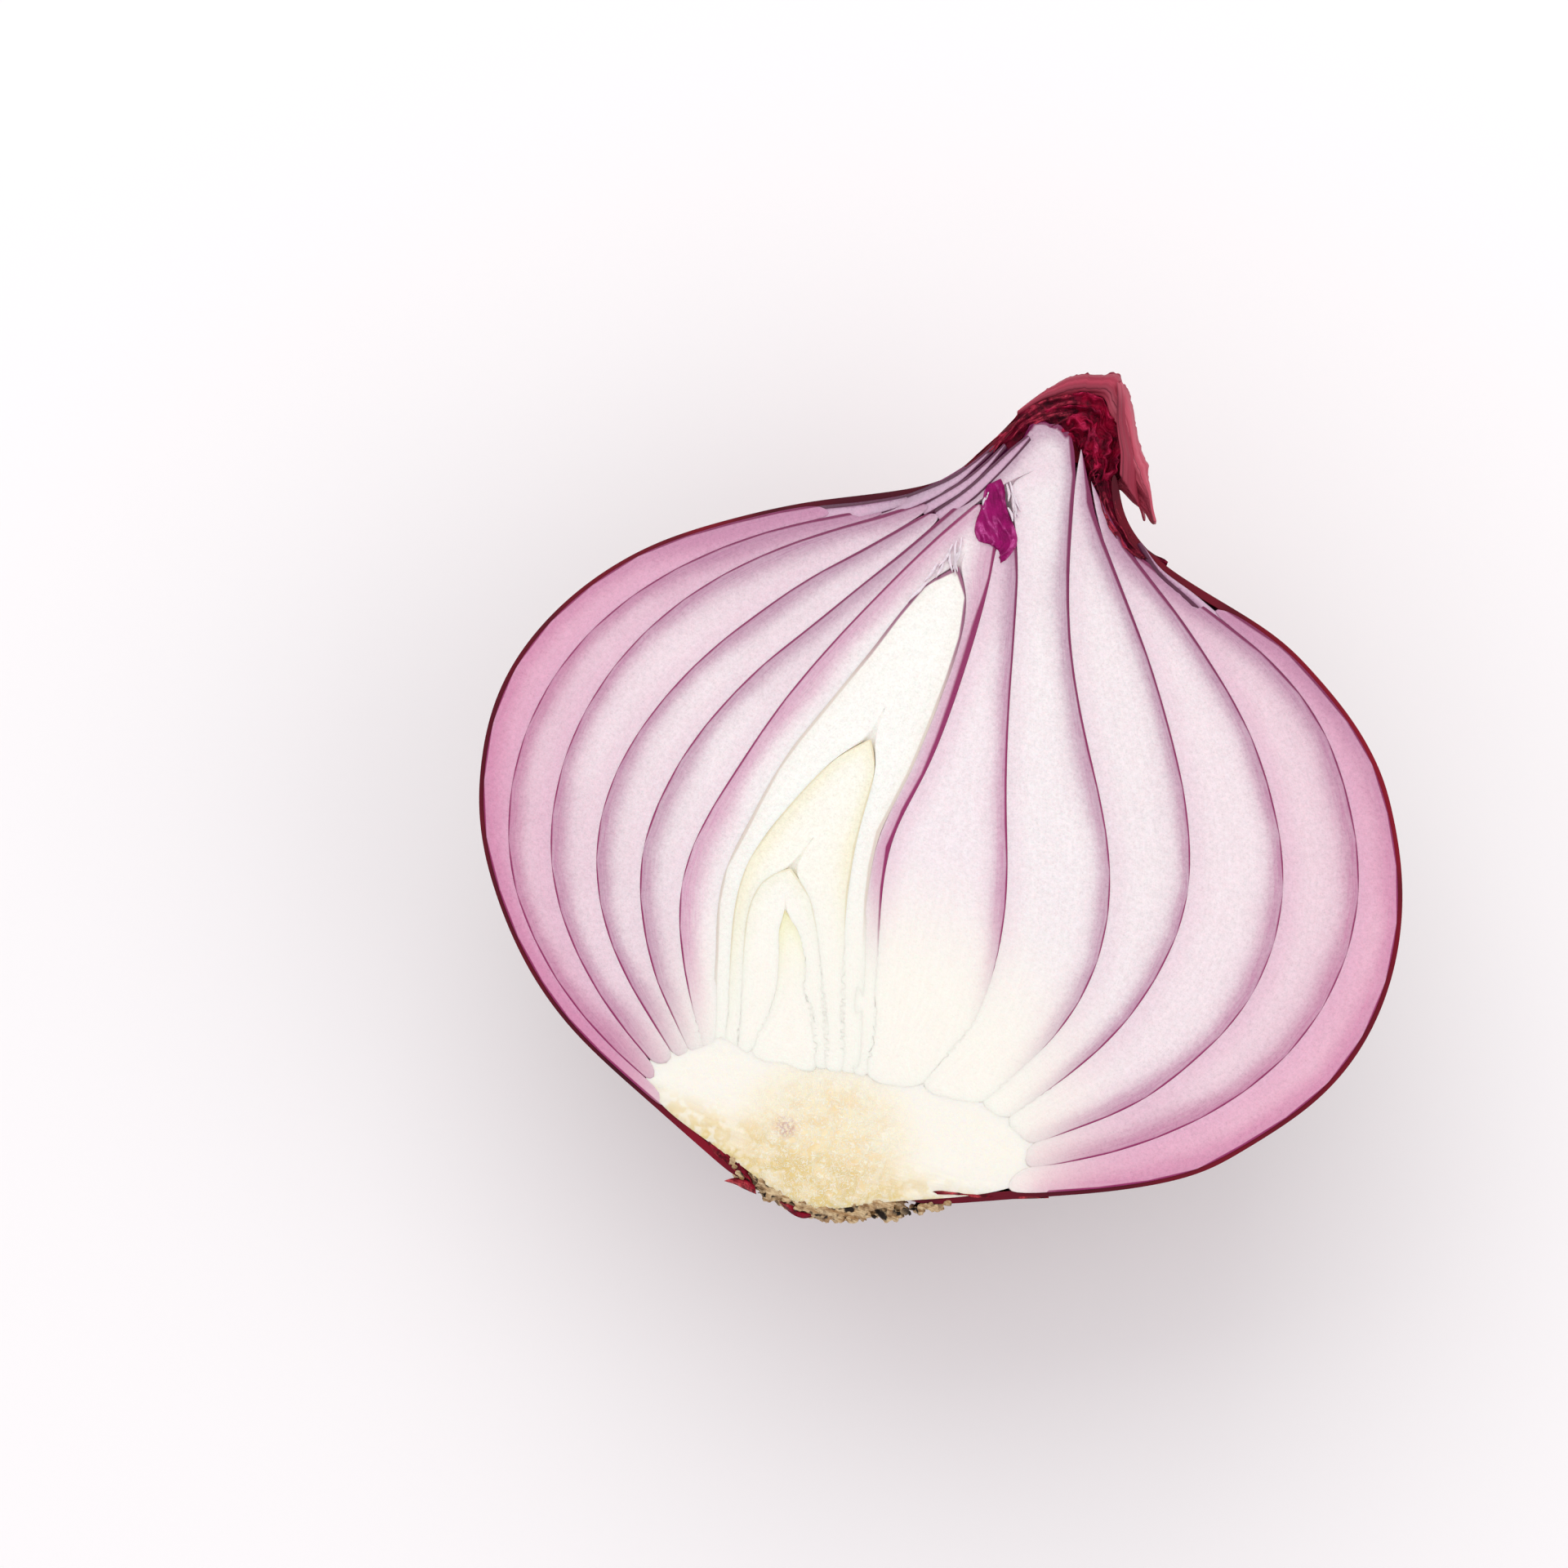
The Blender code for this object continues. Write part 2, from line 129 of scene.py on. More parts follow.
def distances_to(points, segments):
    """From each point to the nearest of the line segments, in the plane of the cut."""
    if not segments:
        return np.full(len(points), FAR * MM)
    points = np.array([point[:2] for point in points])[:, None]
    start = np.array([a[:2] for a, b in segments])[None]
    along = np.array([b[:2] for a, b in segments])[None] - start
    share = ((points - start) * along).sum(2) / np.maximum((along**2).sum(2), 1e-18)
    nearest = start + along * np.clip(share, 0, 1)[..., None]
    return np.sqrt(((points - nearest) ** 2).sum(2)).min(1)


def dress_cut_piece(piece, outward, inward, levels=2):
    """Moves the walls until neighbours touch, rounds the edge at the cut and writes what the flesh needs.

    outward and inward are how far the outer and the inner walls move. The attributes outside and inside
    hold the distances in millimetres to the outer and the inner membrane.
    """
    mesh = bmesh.new()
    mesh.from_mesh(piece.data)
    mesh.normal_update()
    moves = {}
    outer = {}
    for vert in mesh.verts:
        normal = wall_normal(vert)
        outer[vert] = is_outer(vert, normal)
        reach = outward if outer[vert] else inward
        moves[vert] = normal * (reach(vert.co) if callable(reach) else reach)
    for vert, move in moves.items():
        vert.co += move
    rims = {True: [], False: []}
    cut_faces = [face for face in mesh.faces if all(map(on_cut, face.verts))]
    inside_cut = set(cut_faces)
    rim_edges = [edge for face in cut_faces for edge in face.edges
                 if sum(other in inside_cut for other in edge.link_faces) == 1]
    for edge in rim_edges:
        side = all(outer[vert] for vert in edge.verts)
        rims[side].append(tuple(vert.co.copy() for vert in edge.verts))
    rim_verts = {vert for edge in rim_edges for vert in edge.verts}
    rim_set = set(rim_edges)
    crossing = {edge for face in cut_faces for edge in face.edges
                if edge not in rim_set and any(vert in rim_verts for vert in edge.verts)}
    growing = True
    while growing:
        growing = False
        for face in cut_faces:
            if len(face.edges) == 4:
                for i in range(4):
                    near, far = face.edges[i], face.edges[(i + 2) % 4]
                    if near in crossing and far not in crossing:
                        crossing.add(far)
                        growing = True
    falling = {edge for vert in rim_verts for edge in vert.link_edges if not all(map(on_cut, edge.verts))}
    places = []
    for edge in crossing:
        start, end = (vert.co.copy() for vert in edge.verts)
        run = (end - start).length
        near, far = (min(RIM / run, 0.25) if vert in rim_verts else 0.25 for vert in edge.verts)
        places.append((start.lerp(end, 0.25), start.lerp(end, near)))
        places.append((start.lerp(end, 0.75), end.lerp(start, far)))
    for edge in falling:
        top, low = sorted(edge.verts, key=lambda vert: -vert.co.z)
        run = (top.co - low.co).length
        places.append(((top.co + low.co) / 2, top.co.lerp(low.co, min(RIM / run, 0.4))))
    old = set(mesh.verts)
    bmesh.ops.subdivide_edges(mesh, edges=list(crossing), cuts=3, use_grid_fill=True)
    bmesh.ops.subdivide_edges(mesh, edges=[edge for edge in falling if edge.is_valid], cuts=1,
                              use_grid_fill=True)
    added = [vert for vert in mesh.verts if vert not in old]
    middles = np.array([place[0][:] for place in places])
    for vert in added:
        gaps = ((middles - np.array(vert.co[:])) ** 2).sum(1)
        best = int(gaps.argmin())
        if gaps[best] < (5e-6) ** 2:
            vert.co = places[best][1]
    for vert in added:
        outer[vert] = is_outer(vert, wall_normal(vert)) if not on_cut(vert) else True
    walls = [on_cut(vert) * FAR if outer[vert] else THICK for vert in mesh.verts]
    mesh.to_mesh(piece.data)
    mesh.free()
    layer = piece.data.attributes.new("outside", "FLOAT", "POINT")
    layer.data.foreach_set("value", walls)
    smooth_with(piece, levels)
    places = np.zeros(len(piece.data.vertices) * 3)
    piece.data.vertices.foreach_get("co", places)
    places = places.reshape(-1, 3)
    outside = np.zeros(len(places))
    piece.data.attributes["outside"].data.foreach_get("value", outside)
    inside = THICK - outside
    near_cut = places[:, 2] > CUT_FACE - 0.4 * MM
    outside[near_cut] = distances_to(places[near_cut], rims[True]) / MM
    inside[near_cut] = distances_to(places[near_cut], rims[False]) / MM
    piece.data.attributes.new("inside", "FLOAT", "POINT")
    for name, values in (("outside", outside), ("inside", inside)):
        piece.data.attributes[name].data.foreach_set("value", values.astype(np.float32))


def smooth_with(piece, levels):
    """Finishes a piece with an applied Subdivision Surface."""
    bpy.ops.object.select_all(action="DESELECT")
    bpy.context.view_layer.objects.active = piece
    piece.select_set(True)
    if levels:
        rounding = piece.modifiers.new("rounding", "SUBSURF")
        rounding.levels = rounding.render_levels = levels
        bpy.ops.object.modifier_apply(modifier=rounding.name)
    bpy.ops.object.shade_smooth()


def ripple_cut_face(piece, height, size):
    """Gives the cut face the slight waves that a knife and drying flesh leave."""
    for vert in piece.data.vertices:
        if vert.co.z > CUT_FACE - 0.4 * MM:
            vert.co.z += height * (noise.noise(vert.co / size) - 0.45)


def rgb(red, green, blue):
    """A colour as it looks on a screen, 0 to 255, as the shader wants it."""
    values = [value / 255 for value in (red, green, blue)]
    return (*(value / 12.92 if value <= 0.04045 else ((value + 0.055) / 1.055) ** 2.4 for value in values), 1)


def fill_sockets(node, sockets):
    """Gives each socket a value, or a link from another node's socket."""
    for key, value in sockets.items():
        if isinstance(value, bpy.types.NodeSocket):
            node.id_data.links.new(value, node.inputs[key])
        else:
            node.inputs[key].default_value = value


def add_node(tree, kind, sockets=None, **settings):
    made = tree.nodes.new(kind)
    for name, value in settings.items():
        setattr(made, name, value)
    fill_sockets(made, sockets or {})
    return made


def tree_of(*values):
    """The node tree of the first value that is a socket, so that what is made of it goes there too."""
    return next(value.id_data for value in values if isinstance(value, bpy.types.NodeSocket))


def calculate(operation, *values):
    return add_node(tree_of(*values), "ShaderNodeMath", dict(enumerate(values)),
                    operation=operation).outputs[0]


def times(*values):
    return calculate("MULTIPLY", *values)


def plus(*values):
    return calculate("ADD", *values)


def mix(share, first, second, blend="MIX"):
    return add_node(tree_of(share, first, second), "ShaderNodeMix", {0: share, 6: first, 7: second},
                    data_type="RGBA", blend_type=blend).outputs[2]


def fade(value, low, high, to_low=0.0, to_high=1.0):
    """A soft step: to_low up to low, and to_high from high on."""
    return add_node(tree_of(value), "ShaderNodeMapRange", {0: value, 1: low, 2: high, 3: to_low, 4: to_high},
                    interpolation_type="SMOOTHSTEP").outputs[0]


def noise_at(place, scale, detail=2.0, roughness=0.5):
    sockets = {0: place, 2: scale, 3: detail, 4: roughness}
    return add_node(tree_of(place), "ShaderNodeTexNoise", sockets).outputs[0]


def distance_from(place, point):
    return add_node(tree_of(place), "ShaderNodeVectorMath", {0: place, 1: point},
                    operation="DISTANCE").outputs[1]


def combine(x, y, z=0.0):
    return add_node(tree_of(x, y, z), "ShaderNodeCombineXYZ", {0: x, 1: y, 2: z}).outputs[0]


def bump(height, strength, distance):
    return add_node(tree_of(height), "ShaderNodeBump",
                    {"Height": height, "Strength": strength, "Distance": distance}).outputs[0]


def attribute(tree, name):
    return add_node(tree, "ShaderNodeAttribute", attribute_name=name).outputs["Fac"]


def new_finish(name):
    """A material, its node tree and its shader."""
    finish = bpy.data.materials.new(name)
    finish.use_nodes = True
    return finish, finish.node_tree, finish.node_tree.nodes["Principled BSDF"]


def new_group(name, takes, gives):
    """A shader node group with named inputs and outputs, its inputs, and the node that takes its outputs."""
    group = bpy.data.node_groups.new(name, "ShaderNodeTree")
    kinds = {"float": "NodeSocketFloat", "colour": "NodeSocketColor"}
    for label, kind in takes.items():
        group.interface.new_socket(label, in_out="INPUT", socket_type=kinds[kind])
    for label, kind in gives.items():
        group.interface.new_socket(label, in_out="OUTPUT", socket_type=kinds[kind])
    return group, group.nodes.new("NodeGroupInput").outputs, group.nodes.new("NodeGroupOutput")


def millimetres(tree):
    """The place on the piece, in millimetres."""
    place = add_node(tree, "ShaderNodeTexCoord").outputs["Object"]
    return add_node(tree, "ShaderNodeVectorMath", {0: place, 3: 1000.0}, operation="SCALE").outputs[0]


def split(place):
    """The x, y and z of a place."""
    return add_node(tree_of(place), "ShaderNodeSeparateXYZ", {0: place}).outputs


def make_stained_flesh():
    """Cut onion flesh: pale juicy cells, fibres along the scale, and the purple that its membrane leaks."""
    group, given, out = new_group(
        "stained flesh",
        {"Outside": "float", "Inside": "float", "Flesh": "colour", "Stain": "colour", "Membrane": "colour",
         "Stain Depth": "float", "Stain Amount": "float", "Membrane Width": "float",
         "Inner Tint": "float", "Membrane Amount": "float", "Neck Shade": "float"},
        {"Color": "colour", "Roughness": "float", "Height": "float"})
    place = millimetres(group)
    x, y, _ = split(place)
    patches = noise_at(place, 0.075, 1.0)
    across = calculate("DIVIDE", given["Outside"], plus(plus(given["Outside"], given["Inside"]), 0.01))
    fibre_place = combine(times(across, 22.0), times(y, 0.22), times(x, 0.07))
    fibres = noise_at(fibre_place, 1.6, 3.0, 0.7)
    cells = add_node(group, "ShaderNodeTexVoronoi", {0: place, 2: 4.5}).outputs[0]
    grain = noise_at(place, 3.2, 3.0, 0.8)
    outside = plus(given["Outside"], times(calculate("SUBTRACT", grain, 0.5), 0.5))
    depth = times(given["Stain Depth"], fade(patches, 0.35, 0.65, 0.8, 1.2))
    band = calculate("DIVIDE", outside, depth)
    band = plus(fade(band, 0.2, 1.25, 0.58, 0.0), fade(band, 0.0, 2.2, 0.4, 0.0))
    band = times(band, fade(fibres, 0.3, 0.7, 0.82, 1.12))
    tint = fade(given["Inside"], 0.0, 2.4, 1.0, 0.0)
    away = distance_from(place, PLATE_CENTRE / MM)
    away = plus(away, times(fibres, 5.0))
    rooted = fade(away, 13.5, 25.0)
    pinker = times(fade(x, -34.0, -6.0, 0.55, 0.0), given["Inner Tint"])
    flesh = mix(pinker, given["Flesh"], rgb(214, 158, 188))
    # Painted shade: the flesh turns greyer towards the neck, as strongly as the inner tint allows.
    greyer_shade_to_neck = times(fade(y, 16.0, 38.0, 0.0, 0.5), given["Inner Tint"])
    flesh = mix(greyer_shade_to_neck, flesh, rgb(196, 172, 190))
    pale = mix(fade(away, 13.0, 28.0), rgb(254, 248, 237), flesh)
    lilac = times(times(tint, given["Inner Tint"]), rooted)
    colour = mix(lilac, pale, rgb(222, 160, 192))
    # Painted shade: the stain colour turns grey-mauve towards the neck.
    grey_shade_to_neck = times(fade(y, 4.0, 26.0), given["Neck Shade"])
    stain_colour = mix(grey_shade_to_neck, given["Stain"], rgb(156, 92, 136))
    stain = times(times(band, given["Stain Amount"]), rooted)
    colour = mix(stain, colour, stain_colour)
    light = times(fade(cells, 0.0, 0.45, 0.95, 1.03), fade(grain, 0.3, 0.72, 0.93, 1.06))
    light = times(light, fade(fibres, 0.3, 0.7, 0.97, 1.02))
    calm = fade(away, 16.0, 30.0, 0.75, 0.0)
    light = plus(times(light, calculate("SUBTRACT", 1.0, calm)), calm)
    threads = fade(fibres, 0.42, 0.6)
    threads = times(threads, fade(away, 14.0, 26.0, 0.5, 0.0))
    colour = mix(threads, colour, rgb(255, 252, 240))
    shade = add_node(group, "ShaderNodeCombineColor", {0: light, 1: light, 2: light}).outputs[0]
    colour = mix(1.0, colour, shade, "MULTIPLY")
    width = times(given["Membrane Width"], fade(y, 18.0, 33.0, 1.0, 1.9))
    line = fade(calculate("DIVIDE", given["Outside"], width), 0.7, 1.25, 1.0, 0.0)
    line = times(times(line, given["Membrane Amount"]), fade(away, 15.5, 22.0))
    # Painted shade: the membrane line darkens towards the neck.
    membrane = mix(times(grey_shade_to_neck, 0.6), given["Membrane"], rgb(84, 16, 58))
    colour = mix(line, colour, membrane)
    fill_sockets(out, {"Color": colour, "Roughness": fade(grain, 0.3, 0.7, 0.26, 0.44),
                       "Height": plus(times(cells, 0.6), plus(times(fibres, 0.8), grain))})
    return group


STAINED_FLESH = make_stained_flesh()


# The inner tint also sets the painted shade that greys the flesh towards the neck, and the last argument sets
# the painted shade that greys the stain and membrane there.
def flesh_finish(name, flesh, stain, depth, amount, membrane=(146, 12, 92), width=0.2, inner=0.35, line=1.0,
                 neck_shade=0.75):
    """A material for one scale. membrane and width may be functions that make a socket."""
    finish, tree, shader = new_finish(name)
    group = add_node(tree, "ShaderNodeGroup", {
        "Outside": attribute(tree, "outside"), "Inside": attribute(tree, "inside"), "Flesh": rgb(*flesh),
        "Stain": rgb(*stain), "Membrane": membrane(tree) if callable(membrane) else rgb(*membrane),
        "Stain Depth": depth, "Stain Amount": amount,
        "Membrane Width": width(tree) if callable(width) else width, "Inner Tint": inner,
        "Membrane Amount": line, "Neck Shade": neck_shade}, node_tree=STAINED_FLESH)
    fill_sockets(shader, {
        "Base Color": group.outputs["Color"], "Roughness": group.outputs["Roughness"],
        "Normal": bump(group.outputs["Height"], 0.35, 0.00006), "Subsurface Weight": 0.25,
        "Subsurface Radius": (1.0, 0.5, 0.6), "Subsurface Scale": 0.0012, "Coat Weight": 0.15,
        "Coat Roughness": 0.2})
    return finish


def hand_over(piece, finish, slot, *nodes):
    """Gives a finished piece its material, ties it to the root body and hides the solids that it stands for.
    """
    piece.data.materials.clear()
    piece.data.materials.append(finish)
    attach(piece, "root")
    if nodes:
        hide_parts(*nodes)


TOUCH = 0.17 * MM  # half the frame's gap between scales, and a little more
SCALES = {
    "fleshy_scale_1": dict(flesh=(235, 190, 208), stain=(200, 108, 156), depth=1.9, amount=0.65, inner=0.45),
    "fleshy_scale_2": dict(flesh=(236, 210, 220), stain=(184, 96, 144), depth=1.7, amount=0.75, inner=0.35),
    "fleshy_scale_3": dict(flesh=(241, 226, 231), stain=(178, 96, 144), depth=1.7, amount=0.75, inner=0.22),
    "fleshy_scale_4": dict(flesh=(242, 231, 234), stain=(174, 98, 144), depth=1.5, amount=0.75, inner=0.2),
    "fleshy_scale_5": dict(flesh=(244, 235, 237), stain=(174, 102, 146), depth=1.5, amount=0.72, inner=0.2),
}


def fuse_near_plate(most):
    """How far a wall moves: it meets its neighbour, and grows into it where the scales leave the plate."""
    def reach(place):
        away = (place - PLATE_CENTRE).length / MM
        return TOUCH + (most * MM) * min(max((19.0 - away) / 8.0, 0.0), 1.0)
    return reach


for name, look in SCALES.items():
    scale = lift_from_frame(name, "cut_" + name)
    outward = 0.55 * MM if name == "fleshy_scale_1" else fuse_near_plate(0.45)
    dress_cut_piece(scale, outward, fuse_near_plate(0.45))
    ripple_cut_face(scale, 0.05 * MM, 4 * MM)
    hand_over(scale, flesh_finish("flesh of " + name, **look), "flesh", name)


# Heart of the bulb
#
# Inside the fifth scale stand the sheath round the core and, past a thin slit, a side scale. The slit's
# two faces carry a membrane of vivid magenta.

HEART = {
    "side_scale": dict(flesh=(244, 232, 236), stain=(186, 104, 152), depth=1.4, amount=0.75),
    "inner_sheath": dict(flesh=(250, 245, 243), stain=(198, 110, 162), depth=2.0, amount=0.7, inner=0.05,
                         neck_shade=0.2),
}


def wide_at_slit(tree):
    """The membrane's width: three times as wide on the right of the sheath, along the slit."""
    x, y, _ = split(millimetres(tree))
    leaning = times(fade(y, 8.0, 34.0), 7.0)
    side = calculate("SUBTRACT", plus(x, 8.0), leaning)
    high = fade(y, -6.0, 20.0, 0.12, 1.0)
    return plus(times(times(fade(side, 0.0, 2.5), high), 0.42), 0.2)


for name, look in HEART.items():
    scale = lift_from_frame(name, "cut_" + name)
    dress_cut_piece(scale, fuse_near_plate(0.45), fuse_near_plate(0.45))
    ripple_cut_face(scale, 0.05 * MM, 4 * MM)
    look["width"] = wide_at_slit if name == "inner_sheath" else 0.2
    hand_over(scale, flesh_finish("flesh of " + name, **look), "flesh", name)


# Core
#
# The young leaves of the bud, white to cream, one within the other, and the yellow sprout in the innermost.
# Only the first has purple on it, at its tip, where it was torn from the sheath.

def purple_at_tip(tree):
    """The first leaf's membrane: cream, and purple where its tip was torn from the sheath."""
    height = split(millimetres(tree))[1]
    return mix(fade(height, 10.0, 19.0), rgb(226, 208, 196), rgb(136, 34, 98))


CORE = {
    "core_leaf_1": dict(flesh=(253, 251, 244), stain=(248, 236, 228), depth=1.2, amount=0.5,
                        membrane=purple_at_tip, line=0.9, inner=0.0, width=0.3),
    "core_leaf_2": dict(flesh=(254, 251, 238), stain=(246, 230, 188), depth=1.2, amount=0.5,
                        membrane=(226, 204, 160), line=0.5, inner=0.0),
    "core_leaf_3": dict(flesh=(254, 252, 242), stain=(248, 236, 204), depth=1.0, amount=0.4,
                        membrane=(228, 210, 168), line=0.5, inner=0.0),
    "sprout": dict(flesh=(253, 248, 205), stain=(244, 228, 150), depth=1.0, amount=0.6,
                   membrane=(216, 192, 124), line=0.5, inner=0.0),
}
for name, look in CORE.items():
    leaf = lift_from_frame(name, "cut_" + name)
    dress_cut_piece(leaf, fuse_near_plate(0.35), fuse_near_plate(0.35))
    ripple_cut_face(leaf, 0.05 * MM, 3 * MM)
    hand_over(leaf, flesh_finish("flesh of " + name, neck_shade=0.0, **look), "core", name)


# Basal plate
#
# The squat stem at the bottom of the bulb, a cream cushion of tangled wet fibres. Every scale grows out of
# it with no seam, and towards the root it turns glassy and yellow.

PLATE_ROOT_SIDE = 4.0 - BULB_ROOT  # the height, in millimetres, below which the plate meets the crust


def plate_spread(place):
    """How far the plate swells over the ends of the scales, and how little towards the crust."""
    height = place.y / MM
    upper = np.clip((height - PLATE_ROOT_SIDE) / 3.0, 0, 1)
    corner = np.clip((-9.0 - place.x / MM) / 1.5, 0, 1) * np.clip((height + 28.6) / 1.2, 0, 1)
    return (0.6 + 1.7 * upper + 1.5 * corner + 0.3 * noise.noise(place / (2.2 * MM)) * upper) * MM


def make_wet_fibres():
    """A finish of short pale fibres tangled in glassy yellowish flesh."""
    finish, tree, shader = new_finish("wet fibres")
    place = millimetres(tree)
    height = split(place)[1]
    warp = add_node(tree, "ShaderNodeTexNoise", {0: place, 2: 0.9, 3: 2.0})
    bent = add_node(tree, "ShaderNodeVectorMath", {0: warp.outputs[1], 3: 3.5}, operation="SCALE").outputs[0]
    bent = add_node(tree, "ShaderNodeVectorMath", {0: place, 1: bent}, operation="ADD").outputs[0]
    strands = []
    for i, turn in enumerate((0.5, 2.2)):
        lines = add_node(tree, "ShaderNodeMapping", {0: bent, 2: (0, 0, turn), 3: (1.6, 0.35, 1.0)})
        strand = noise_at(lines.outputs[0], 1.6, 2.0)
        ridge = calculate("ABSOLUTE", calculate("SUBTRACT", strand, 0.5))
        strands.append(fade(ridge, 0.0, 0.045, 1.0, 0.0))
    fibres = calculate("MAXIMUM", *strands)
    lumps = add_node(tree, "ShaderNodeTexVoronoi", {0: bent, 2: 0.75}, feature="SMOOTH_F1").outputs[0]
    blotches = noise_at(place, 0.45, 4.0, 0.65)
    grain = noise_at(place, 4.0, 3.0, 0.7)
    rooting = distance_from(place, (-1.5, -28.5, CUT_FACE / MM))
    rooting = plus(rooting, times(blotches, 5.0))
    colour = mix(fade(rooting, 4.0, 13.0), rgb(255, 236, 196), rgb(254, 248, 236))
    warm = times(fade(rooting, 6.0, 12.0, 1.0, 0.0), fade(blotches, 0.45, 0.62, 0.0, 0.75))
    colour = mix(warm, colour, rgb(248, 216, 160))
    glassy = times(fade(height, -30.5, -26.5, 1.0, 0.0), fade(lumps, 0.25, 0.6, 0.35, 1.0))
    colour = mix(glassy, colour, rgb(232, 206, 138))
    near_middle = fade(rooting, 6.0, 12.0, 1.0, 0.0)
    colour = mix(times(fibres, times(near_middle, 0.7)), colour, rgb(255, 252, 240))
    spot = distance_from(place, (-5.1, -27.4, CUT_FACE / MM))
    spot = times(fade(spot, 0.2, 1.5, 0.6, 0.0), fade(grain, 0.4, 0.6))
    colour = mix(spot, colour, rgb(186, 128, 140))
    relief = plus(times(fibres, 0.5), plus(lumps, times(grain, 0.2)))
    relief = times(relief, fade(rooting, 6.0, 12.0, 1.0, 0.1))
    fill_sockets(shader, {
        "Base Color": colour, "Roughness": fade(blotches, 0.4, 0.6, 0.38, 0.2),
        "Normal": bump(relief, 0.5, 0.00012), "Subsurface Weight": 0.3, "Subsurface Radius": (1.0, 0.7, 0.4),
        "Subsurface Scale": 0.0015, "Coat Weight": 0.25, "Coat Roughness": 0.15})
    return finish


plate = lift_from_frame("basal_plate", "cut_basal_plate")
dress_cut_piece(plate, plate_spread, plate_spread, 4)
rim_gap = [min(a.value, b.value) for a, b in
           zip(plate.data.attributes["outside"].data, plate.data.attributes["inside"].data)]
for vert, gap in zip(plate.data.vertices, rim_gap):
    if vert.co.z > CUT_FACE - 0.15 * MM:
        upper = min(max((vert.co.y / MM - PLATE_ROOT_SIDE + 1.0) / 2.0, 0.0), 1.0)
        swell = min(gap / 2.6, 1.0) ** 0.7
        lump = noise.noise(vert.co / (1.1 * MM)) + 0.6 * noise.noise(vert.co / (0.45 * MM))
        vert.co.z += (upper * (0.15 * swell - 0.14) + 0.07 * lump * (1.3 - upper) - 0.03) * MM
hand_over(plate, make_wet_fibres(), "plate", "basal_plate")


# Root crust
#
# The dry, ragged crust where the roots were cut away: corky brown, with pale torn edges, painted shade in the
# pits between its lumps, darker random patches and a few stubs of dried roots.


def in_bulb(side, height, depth=0.0):
    """A place given in millimetres on the cut face, from the root up, and below the cut face."""
    return Vector(((side - BULB_SIDE) * MM, (height - BULB_ROOT) * MM, CUT_FACE - depth * MM))


def make_corky_crust():
    finish, tree, shader = new_finish("corky crust")
    place = millimetres(tree)
    pit_shade_and_patches = attribute(tree, "pit_shade_and_patches")
    blotches = noise_at(place, 0.8, 4.0, 0.7)
    drawn_out = add_node(tree, "ShaderNodeMapping", {0: place, 3: (0.6, 3.0, 0.6)})
    threads = noise_at(drawn_out.outputs[0], 1.4, 4.0, 0.8)
    colour = mix(fade(threads, 0.35, 0.65), rgb(172, 128, 80), rgb(240, 214, 170))
    colour = mix(fade(blotches, 0.5, 0.68, 0.0, 0.7), colour, rgb(108, 70, 46))
    # Painted shade: near black in the recesses between the lumps, and darker in random patches.
    colour = mix(fade(pit_shade_and_patches, 0.1, 0.75), colour, rgb(38, 24, 16))
    fill_sockets(shader, {"Base Color": colour, "Roughness": fade(blotches, 0.3, 0.7, 0.7, 0.95),
                          "Normal": bump(plus(threads, blotches), 0.9, 0.0003)})
    return finish


CORKY_CRUST = make_corky_crust()
CRUST_LINE = ((-8.6, -0.9), (-6.9, -2.0), (-4.6, -2.9), (-1.5, -3.15), (1.6, -2.9), (4.0, -2.2), (6.4, -1.2),
              (8.8, 0.1), (10.6, 1.0))
FLAKES = 420
crust = lift_from_frame("root_crust", "dry_root_crust")
draw = random.Random(11)
for vert in crust.data.vertices:
    vert.co.y = max(vert.co.y, in_bulb(0, -2.9).y)
bpy.ops.object.select_all(action="DESELECT")
lumps = [crust]
for i in range(FLAKES):
    share = draw.random()
    line = np.interp(share * (len(CRUST_LINE) - 1), range(len(CRUST_LINE)), [x for x, _ in CRUST_LINE])
    level = np.interp(share * (len(CRUST_LINE) - 1), range(len(CRUST_LINE)), [y for _, y in CRUST_LINE])
    down = draw.random() ** 1.5 * 0.5 * math.pi
    middle, reach = 0.8, line - 0.8
    spot = in_bulb(middle + reach * math.cos(down), level + draw.uniform(-0.35, 0.3),
                   abs(reach) * math.sin(down) + 0.15)
    size = draw.uniform(0.22, 0.5) * MM
    bpy.ops.mesh.primitive_ico_sphere_add(
        subdivisions=1, radius=size, location=spot,
        rotation=(draw.uniform(-0.5, 0.5), draw.random() * 3, draw.uniform(-0.6, 0.6)),
        scale=(draw.uniform(0.7, 2.2), draw.uniform(0.35, 0.8), draw.uniform(0.6, 1.6)))
    lumps.append(bpy.context.object)
for lump in lumps:
    lump.select_set(True)
bpy.context.view_layer.objects.active = crust
bpy.ops.object.join()
fusing = crust.modifiers.new("fused lumps", "REMESH")
fusing.mode = "VOXEL"
fusing.voxel_size = 0.13 * MM
bpy.ops.object.modifier_apply(modifier=fusing.name)
